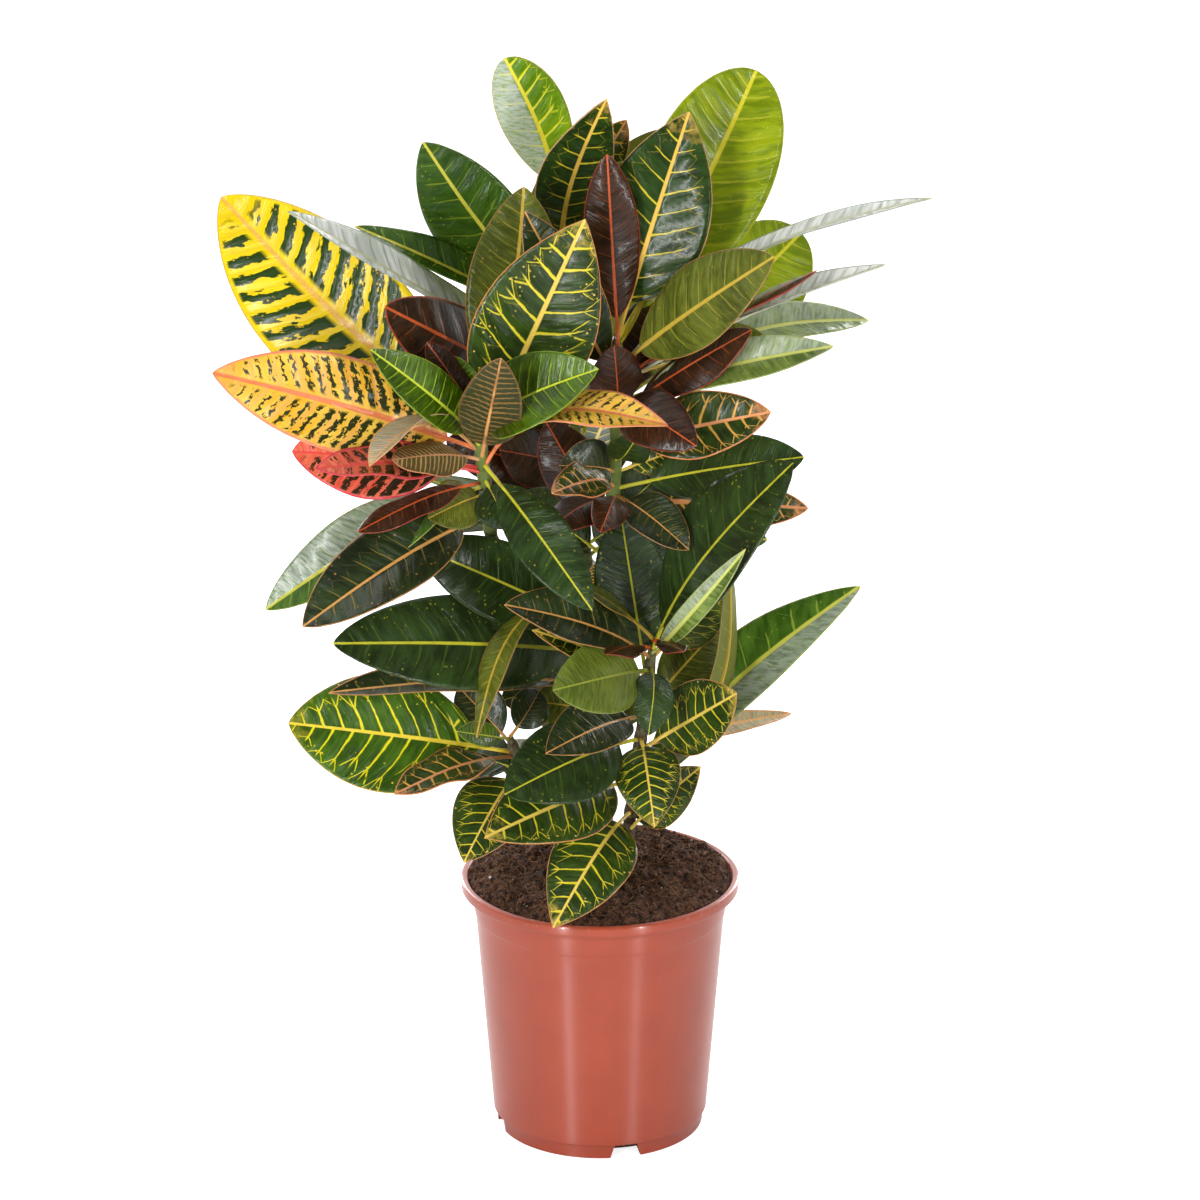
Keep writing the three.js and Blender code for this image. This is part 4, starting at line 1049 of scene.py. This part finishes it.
def leaf_finish(name, look):
    rough = look.get("rough", LEAF_ROUGHNESS)
    material, tree, shader = new_material("leaf_" + name, rough, IOR=1.45, Coat_Weight=0.15,
                                          Coat_Roughness=0.14,
                                          Specular_IOR_Level=look.get("shine", LEAF_SHINE))
    masks = tree.nodes.new("ShaderNodeGroup")
    masks.node_tree = pattern
    vein_width, rib_width, margin_width = look["widths"]
    given = {"Veins": look.get("veins", VEIN_COUNT), "Vein width": vein_width, "Rib width": rib_width,
             "Margin width": margin_width, "Forks": look["forks"], "Vein reach": look["reach"],
             "Blotch reach": look.get("blotch_reach", 0.0), "Dashes": look.get("dashes", 0.0),
             "Painted reflection side": look.get("painted_reflection_side", 0.0)}
    for socket, value in given.items():
        masks.inputs[socket].default_value = value
    mask = masks.outputs
    vein = srgb(look["vein"])
    colour = blend(tree, smooth(tree, mask["Tone"], 0.38, 0.62), srgb(look["lamina"]), srgb(look["second"]))
    colour = blend(tree, times(tree, mask["Vein"], look["vein_show"]), colour, vein)
    if "blotch" in look:
        colour = blend(tree, mask["Blotch"], colour, srgb(look["blotch"]))
    colour = blend(tree, times(tree, mask["Speckle"], look.get("speckle", 0.0)), colour, srgb(look["rib"]))
    colour = blend(tree, times(tree, mask["Tip"], look.get("tip", 0.0)), colour, srgb(look["rib"]))
    # Painted reflection: one half of the blade is lightened towards pale grey-white.
    colour = blend(tree, times(tree, mask["Painted reflection"], look.get("painted_reflection", 0.0)), colour, PAINTED_REFLECTION_COLOUR)
    colour = blend(tree, mask["Margin"], colour, srgb(look["margin"]))
    below = blend(tree, times(tree, mask["Vein"], UNDERSIDE_MARKS), srgb(look["under"]), vein)
    if "blotch" in look:
        below = blend(tree, times(tree, mask["Blotch"], UNDERSIDE_MARKS), below, srgb(look["blotch"]))
    colour = blend(tree, times(tree, mask["Under"], UNDERSIDE_SHARE), colour, below)
    colour = blend(tree, mask["Rib"], colour, srgb(look["rib"]))
    feed(tree, colour, shader.inputs["Base Color"])
    skin = calc(tree, "MULTIPLY_ADD", mask["Tone"], 0.16, rough - 0.06)
    feed(tree, calc(tree, "MULTIPLY_ADD", mask["Under"], 0.2, skin), shader.inputs["Roughness"])
    feed(tree, bump(tree, mask["Height"], 0.6, 0.0016), shader.inputs["Normal"])
    return material


leaf_finishes = {name: leaf_finish(name, look) for name, look in FINISHES.items()}
print("leaf finishes:", len(leaf_finishes))

# %% [markdown]
# ## One leaf
#
# A leaf is a flat grid that is bent into place. The grid's length becomes the blade's midrib, an
# arching line from the stem to the tip, and its width is scaled by the blade's outline. The halves
# rise or fall from the midrib, the margins ripple, and the blade puckers up between its side veins.
# Solidify gives it its thickness, and a tapering tube under it is both the stalk and the midrib
# that stands proud on the underside.

# %% leaf shape
STALK_LENGTH = 28
STALK_SHARE = 0.2
STALK_RADIUS = 1.5
RIB_TIP_RADIUS = 0.35
RIB_SINK = 0.55
BLADE_THICKNESS = 0.7
BLADE_END = 0.992
BLADE_FULLNESS = 0.98
BASE_HALF_WIDTH = 1.2
TIP_HALF_WIDTH = 0.25
BLADE_SHOULDER = 0.7
BLADE_STEP = 2.5
ACROSS_STEPS = 18
PUCKER = 0.02
HEADING_STEP = 0.01
EDGE_CURVE = 1.15
BOW_SKEW = 0.9
END_CROWDING = 0.085
PHASE_STEP = 1.7
SEED_STEP = 0.37
RIB_STEP = 7
RIB_END = 0.985
RIB_SIDES = 8
STALK_SWELL = 0.25
STALK_SWELL_SHARE = 0.06


def stem_axis(points, height):
    """The stem's axis point at a height, in millimetres."""
    for low, high in zip(points, points[1:]):
        if high[2] >= height:
            share = (height - low[2]) / (high[2] - low[2])
            return Vector(low[:3]).lerp(Vector(high[:3]), share)
    return Vector(points[-1][:3])


def blade_outline(share, point):
    widest = BLADE_SHOULDER / (BLADE_SHOULDER + point)
    peak = widest ** BLADE_SHOULDER * (1 - widest) ** point
    return share ** BLADE_SHOULDER * (1 - share) ** point / peak


class LeafForm:
    """One leaf's midrib, directions and sizes, in millimetres."""

    def __init__(self, points, row, index):
        height, tip_x, tip_y, tip_z, width, arch, sway, tilt, lean, habit, finish = row
        self.base = stem_axis(points, height)
        self.chord = Vector((tip_x, tip_y, tip_z)) - self.base
        self.length = self.chord.length
        along = self.chord.normalized()
        tilt, lean = math.radians(tilt), math.radians(lean)
        face = Vector((math.sin(lean), -math.sin(tilt) * math.cos(lean), math.cos(tilt) * math.cos(lean)))
        self.up = (face - face.dot(along) * along).normalized()
        self.side = along.cross(self.up)
        self.arch, self.sway, self.width = arch, sway, width
        self.stalk = min(STALK_SHARE, STALK_LENGTH / self.length)
        self.phase = index * PHASE_STEP
        self.seed = index * SEED_STEP % 1
        self.habit = HABITS[habit]
        self.finish = finish
        self.veins = FINISHES[finish].get("veins", VEIN_COUNT)

    def midrib(self, share):
        bow = math.sin(math.pi * max(share, 0) ** BOW_SKEW)
        return self.base + share * self.chord + bow * (self.arch * self.up + self.sway * self.side)

    def frame(self, share):
        """The midrib's point, the direction across and the direction up there."""
        heading = (self.midrib(share + HEADING_STEP) - self.midrib(share - HEADING_STEP)).normalized()
        up = (self.up - self.up.dot(heading) * heading).normalized()
        return self.midrib(share), heading.cross(up), up

    def half_width(self, blade_share):
        blade = blade_outline(blade_share, self.habit["point"])
        least = TIP_HALF_WIDTH if blade_share > 0.5 else BASE_HALF_WIDTH
        return max(least, self.width / 2 * BLADE_FULLNESS * blade), blade


def bend_blade(mesh, form, plan, share):
    """Moves a flat grid from -1 to 1 onto the leaf, and writes what the pattern reads."""
    rows = {}
    for corner in mesh.verts:
        if corner[share].z < 0:
            continue
        even = (corner.co.x + 1) / 2
        blade_share = min(1.0, max(0.0, even - END_CROWDING * math.sin(2 * math.pi * even)))
        across = -corner.co.y
        key = round(even, 5)
        if key not in rows:
            whole = form.stalk + (BLADE_END - form.stalk) * blade_share
            rows[key] = (whole, *form.frame(whole), *form.half_width(blade_share))
        whole, centre, side, up, half, blade = rows[key]
        turn = 2 * math.pi * form.habit["waves"] * blade_share + 2 * across + form.phase
        ripple = form.habit["wave"] * blade * math.sin(turn)
        rise = abs(across) ** EDGE_CURVE * (form.habit["fold"] * half + ripple)
        sideways = across * half / form.length
        reach = whole - abs(sideways) * (VEIN_SLANT + VEIN_CURVE * abs(sideways))
        phase = reach * form.veins + form.seed + (0.5 if sideways > 0 else 0)
        between = math.cos(math.pi * phase) ** 2 * math.sin(math.pi * abs(across)) ** 0.8
        rise += PUCKER * form.width * math.sqrt(blade) * between
        corner.co = (centre + side * half * across + up * (rise + BLADE_THICKNESS / 2)) * MM
        corner[plan] = Vector((whole, sideways, form.seed))
        corner[share] = Vector((blade_share, across, 0))


def rib_rings(form):
    """The stalk from inside the stem, then the midrib under the blade, tapering to the tip."""
    rings = []
    count = max(14, round(form.length / RIB_STEP))
    for number in range(count + 1):
        whole = number / count * RIB_END
        centre, side, up = form.frame(whole)
        blade_share = max(0, (whole - form.stalk) / (1 - form.stalk))
        radius = STALK_RADIUS * (1 + STALK_SWELL * max(0, 1 - whole / STALK_SWELL_SHARE))
        radius = radius * (1 - blade_share) ** 0.75 + RIB_TIP_RADIUS * blade_share
        radius *= min(1.0, 0.55 + form.width / 110)
        sink = (RIB_SINK * radius + BLADE_THICKNESS * 0.3) * min(1, blade_share * 8)
        rings.append(((centre - sink * up) * MM, side, up, radius * MM))
    return rings


def make_leaf(name, node, points, row, index):
    form = LeafForm(points, row, index)
    mesh = bmesh.new()
    plan = mesh.verts.layers.float_vector.new("leaf_plan")
    share = mesh.verts.layers.float_vector.new("leaf_share")
    for ring in sweep(mesh, rib_rings(form), RIB_SIDES):
        for corner in ring:
            corner[plan] = Vector((0, 0, form.seed))
            corner[share] = Vector((0, 0, -1))
    rib = set(mesh.verts)
    steps = max(22, min(84, round(form.length * (1 - form.stalk) / BLADE_STEP)))
    bmesh.ops.create_grid(mesh, x_segments=steps, y_segments=ACROSS_STEPS, size=1)
    bend_blade(mesh, form, plan, share)
    mesh.normal_update()
    upper = set(mesh.verts) - rib
    faces = [face for face in mesh.faces if face.verts[0] in upper]
    bmesh.ops.solidify(mesh, geom=faces, thickness=BLADE_THICKNESS * MM)
    for corner in mesh.verts:
        if corner in rib:
            corner[share] = Vector((0, 0, 0))
        elif corner not in upper:
            corner[share] = Vector((corner[share].x, corner[share].y, 1))
    return finished_piece(name, mesh, leaf_finishes[form.finish], node)


leaves = []
for stem, rows in LEAVES.items():
    for index, row in enumerate(rows):
        leaves.append(make_leaf(f"leaf_{stem}_{index + 1:02d}", STEM_NODES[stem], STEMS[stem], row, index))
print("leaves:", len(leaves), "with", sum(len(leaf.data.polygons) for leaf in leaves), "faces")

# %% [markdown]
# ## The stems
#
# The lower stems are woody, grey-brown and a little rough, with a raised scar where each old leaf
# fell, and they turn green towards the growing tips. Each one is a tube along the points above,
# with the corners eased, and it swells a little at every leaf.

# %% stem bark
BARK_GREY = srgb("6f6250")
BARK_BROWN = srgb("4e3d2c")
SHOOT_GREEN = srgb("6b7c3a")
GREEN_HEIGHTS = (0.34, 0.62)
CRACK_SCALE = 520
CRACK_STRETCH = (1, 1, 0.22)
PATCH_SCALE = 60
LENTICEL_SCALE = 480


def stem_bark():
    material, tree, shader = new_material("croton bark", 0.7, Specular_IOR_Level=0.35)
    place = object_place(tree)
    height = tree.nodes.new("ShaderNodeSeparateXYZ")
    feed(tree, place, height.inputs[0])
    long_place = tree.nodes.new("ShaderNodeMapping")
    feed(tree, place, long_place.inputs["Vector"])
    long_place.inputs["Scale"].default_value = CRACK_STRETCH
    cracks = grain(tree, long_place.outputs[0], CRACK_SCALE, 4, 0.6)
    patches = grain(tree, place, PATCH_SCALE, 3)
    colour = blend(tree, smooth(tree, cracks, 0.36, 0.62), BARK_BROWN, BARK_GREY)
    uneven_height = calc(tree, "MULTIPLY_ADD", patches, 0.12, height.outputs["Z"])
    green = smooth(tree, uneven_height, *GREEN_HEIGHTS)
    feed(tree, blend(tree, green, colour, SHOOT_GREEN), shader.inputs["Base Color"])
    lenticels = inverse(tree, smooth(tree, cells(tree, place, LENTICEL_SCALE), 0.12, 0.26))
    relief = calc(tree, "MULTIPLY_ADD", lenticels, 0.5, cracks)
    feed(tree, bump(tree, relief, 0.6, 0.0006), shader.inputs["Normal"])
    return material


bark = stem_bark()
print("finish:", bark.name)

# %% stems
STEM_STEP = 3
CORNER_EASE = 10
STEM_SIDES = 14
BARE_STEM_SHARE = 0.94
SCAR_SWELL = 0.16
SCAR_LENGTH = 3.2
FIRST_SCAR = 96
SCAR_SPACING = 13


def make_stem(stem):
    points = STEMS[stem]
    foot, top = points[0][2], points[-1][2]
    scars = [row[0] for row in LEAVES[stem]]
    scars += list(range(foot + FIRST_SCAR, min(scars), SCAR_SPACING))
    centres, radii = [], []
    for height in range(foot + 1, top + 1, STEM_STEP):
        eased = [stem_axis(points, height + offset) for offset in (-CORNER_EASE, 0, CORNER_EASE)
                 if foot <= height + offset <= top]
        centres.append(sum(eased, Vector()) / len(eased) * MM)
        low = max((point for point in points if point[2] <= height), key=lambda point: point[2])
        high = min((point for point in points if point[2] >= height), key=lambda point: point[2])
        share = 0 if high[2] == low[2] else (height - low[2]) / (high[2] - low[2])
        swell = sum(math.exp(-((height - scar) / SCAR_LENGTH) ** 2) for scar in scars)
        radius = low[3] + share * (high[3] - low[3])
        radii.append(radius * (BARE_STEM_SHARE + SCAR_SWELL * min(swell, 1)) * MM)
    mesh = bmesh.new()
    sweep(mesh, path_rings(centres, radii), STEM_SIDES)
    return finished_piece("stem_" + stem, mesh, bark, STEM_NODES[stem])


stems = [make_stem(stem) for stem in STEMS]
print("stems:", len(stems), "with", sum(len(stem.data.polygons) for stem in stems), "faces")

# %% [markdown]
# ## Floor and light
#
# The plant stands in a bright photo studio. Two tall narrow soft boxes stand in front of it, one on
# each side: they draw the two upright streaks on the pot and the soft shine on the waxy leaves. Two
# wider ones stand behind it and light the pot's edges, and a faint one hangs above. The room is
# white behind and above and darker in front, so leaves that face the camera are deep in colour,
# while those seen edge-on reflect the bright walls. The floor is plain and pale. It shows white,
# but lights the plant only a little.

# %% floor and light
FLOOR_SIZE = 24
ROOM_FRONT = 0.12
ROOM_BACK = 1.4
FLOOR_GLOW = 0.8
FRONT_GLOW_START, BACK_GLOW_END = -0.3, 0.9
SOFT_BOX_TALL = 1.9
SOFT_BOX_DIP = 0.2
SOFT_BOXES = {
    "left soft box": dict(azimuth=-29, distance=2.5, height=0.95, power=46, width=0.11),
    "right soft box": dict(azimuth=33, distance=2.6, height=0.95, power=33, width=0.11),
    "left rim box": dict(azimuth=-148, distance=2.3, height=0.9, power=34, width=0.5),
    "right rim box": dict(azimuth=148, distance=2.3, height=0.9, power=34, width=0.5),
}
TOP_LIGHT_PLACE = (-0.6, 0.9, 2.8)
TOP_LIGHT_AIM = (0, 0, 0.5)
TOP_LIGHT_SIZE = (1.6, 1.2)
TOP_POWER = 14


def make_floor():
    mesh = bmesh.new()
    bmesh.ops.create_grid(mesh, x_segments=1, y_segments=1, size=FLOOR_SIZE / 2)
    data = bpy.data.meshes.new("floor")
    mesh.to_mesh(data)
    mesh.free()
    material, tree, shader = new_material("white table", 0.9, Base_Color=srgb("d8d8d8"),
                                          Specular_IOR_Level=0.0, Emission_Color=(1, 1, 1, 1))
    seen = tree.nodes.new("ShaderNodeLightPath").outputs["Is Camera Ray"]
    feed(tree, times(tree, seen, FLOOR_GLOW), shader.inputs["Emission Strength"])
    data.materials.append(material)
    floor = bpy.data.objects.new("floor", data)
    bpy.context.scene.collection.objects.link(floor)


def soft_light(name, place, aim, power, width, height):
    lamp = bpy.data.lights.new(name, "AREA")
    lamp.energy = power
    lamp.shape = "RECTANGLE"
    lamp.size = width
    lamp.size_y = height
    light = bpy.data.objects.new(name, lamp)
    light.location = place
    light.rotation_euler = (Vector(aim) - Vector(place)).to_track_quat("-Z", "Y").to_euler()
    bpy.context.scene.collection.objects.link(light)


def studio_air():
    """White air round the plant, dimmer towards the front."""
    world = bpy.data.worlds.new("studio")
    bpy.context.scene.world = world
    world.use_nodes = True
    tree = world.node_tree
    direction = tree.nodes.new("ShaderNodeSeparateXYZ")
    feed(tree, tree.nodes.new("ShaderNodeTexCoord").outputs["Generated"], direction.inputs[0])
    towards_back = calc(tree, "MULTIPLY_ADD", direction.outputs["Z"], 0.25, direction.outputs["Y"])
    shine = tree.nodes["Background"]
    shine.inputs["Color"].default_value = (1, 1, 1, 1)
    strength = smooth(tree, towards_back, FRONT_GLOW_START, BACK_GLOW_END, ROOM_FRONT, ROOM_BACK)
    feed(tree, strength, shine.inputs["Strength"])


make_floor()
for name, box in SOFT_BOXES.items():
    turn = math.radians(box["azimuth"])
    stand = (box["distance"] * math.sin(turn), -box["distance"] * math.cos(turn), box["height"])
    aim = (0, 0, box["height"] - SOFT_BOX_DIP)
    soft_light(name, stand, aim, box["power"], box["width"], SOFT_BOX_TALL)
soft_light("top light", TOP_LIGHT_PLACE, TOP_LIGHT_AIM, TOP_POWER, *TOP_LIGHT_SIZE)
studio_air()
bpy.context.scene.view_settings.view_transform = "Standard"
print("floor and lights ready")
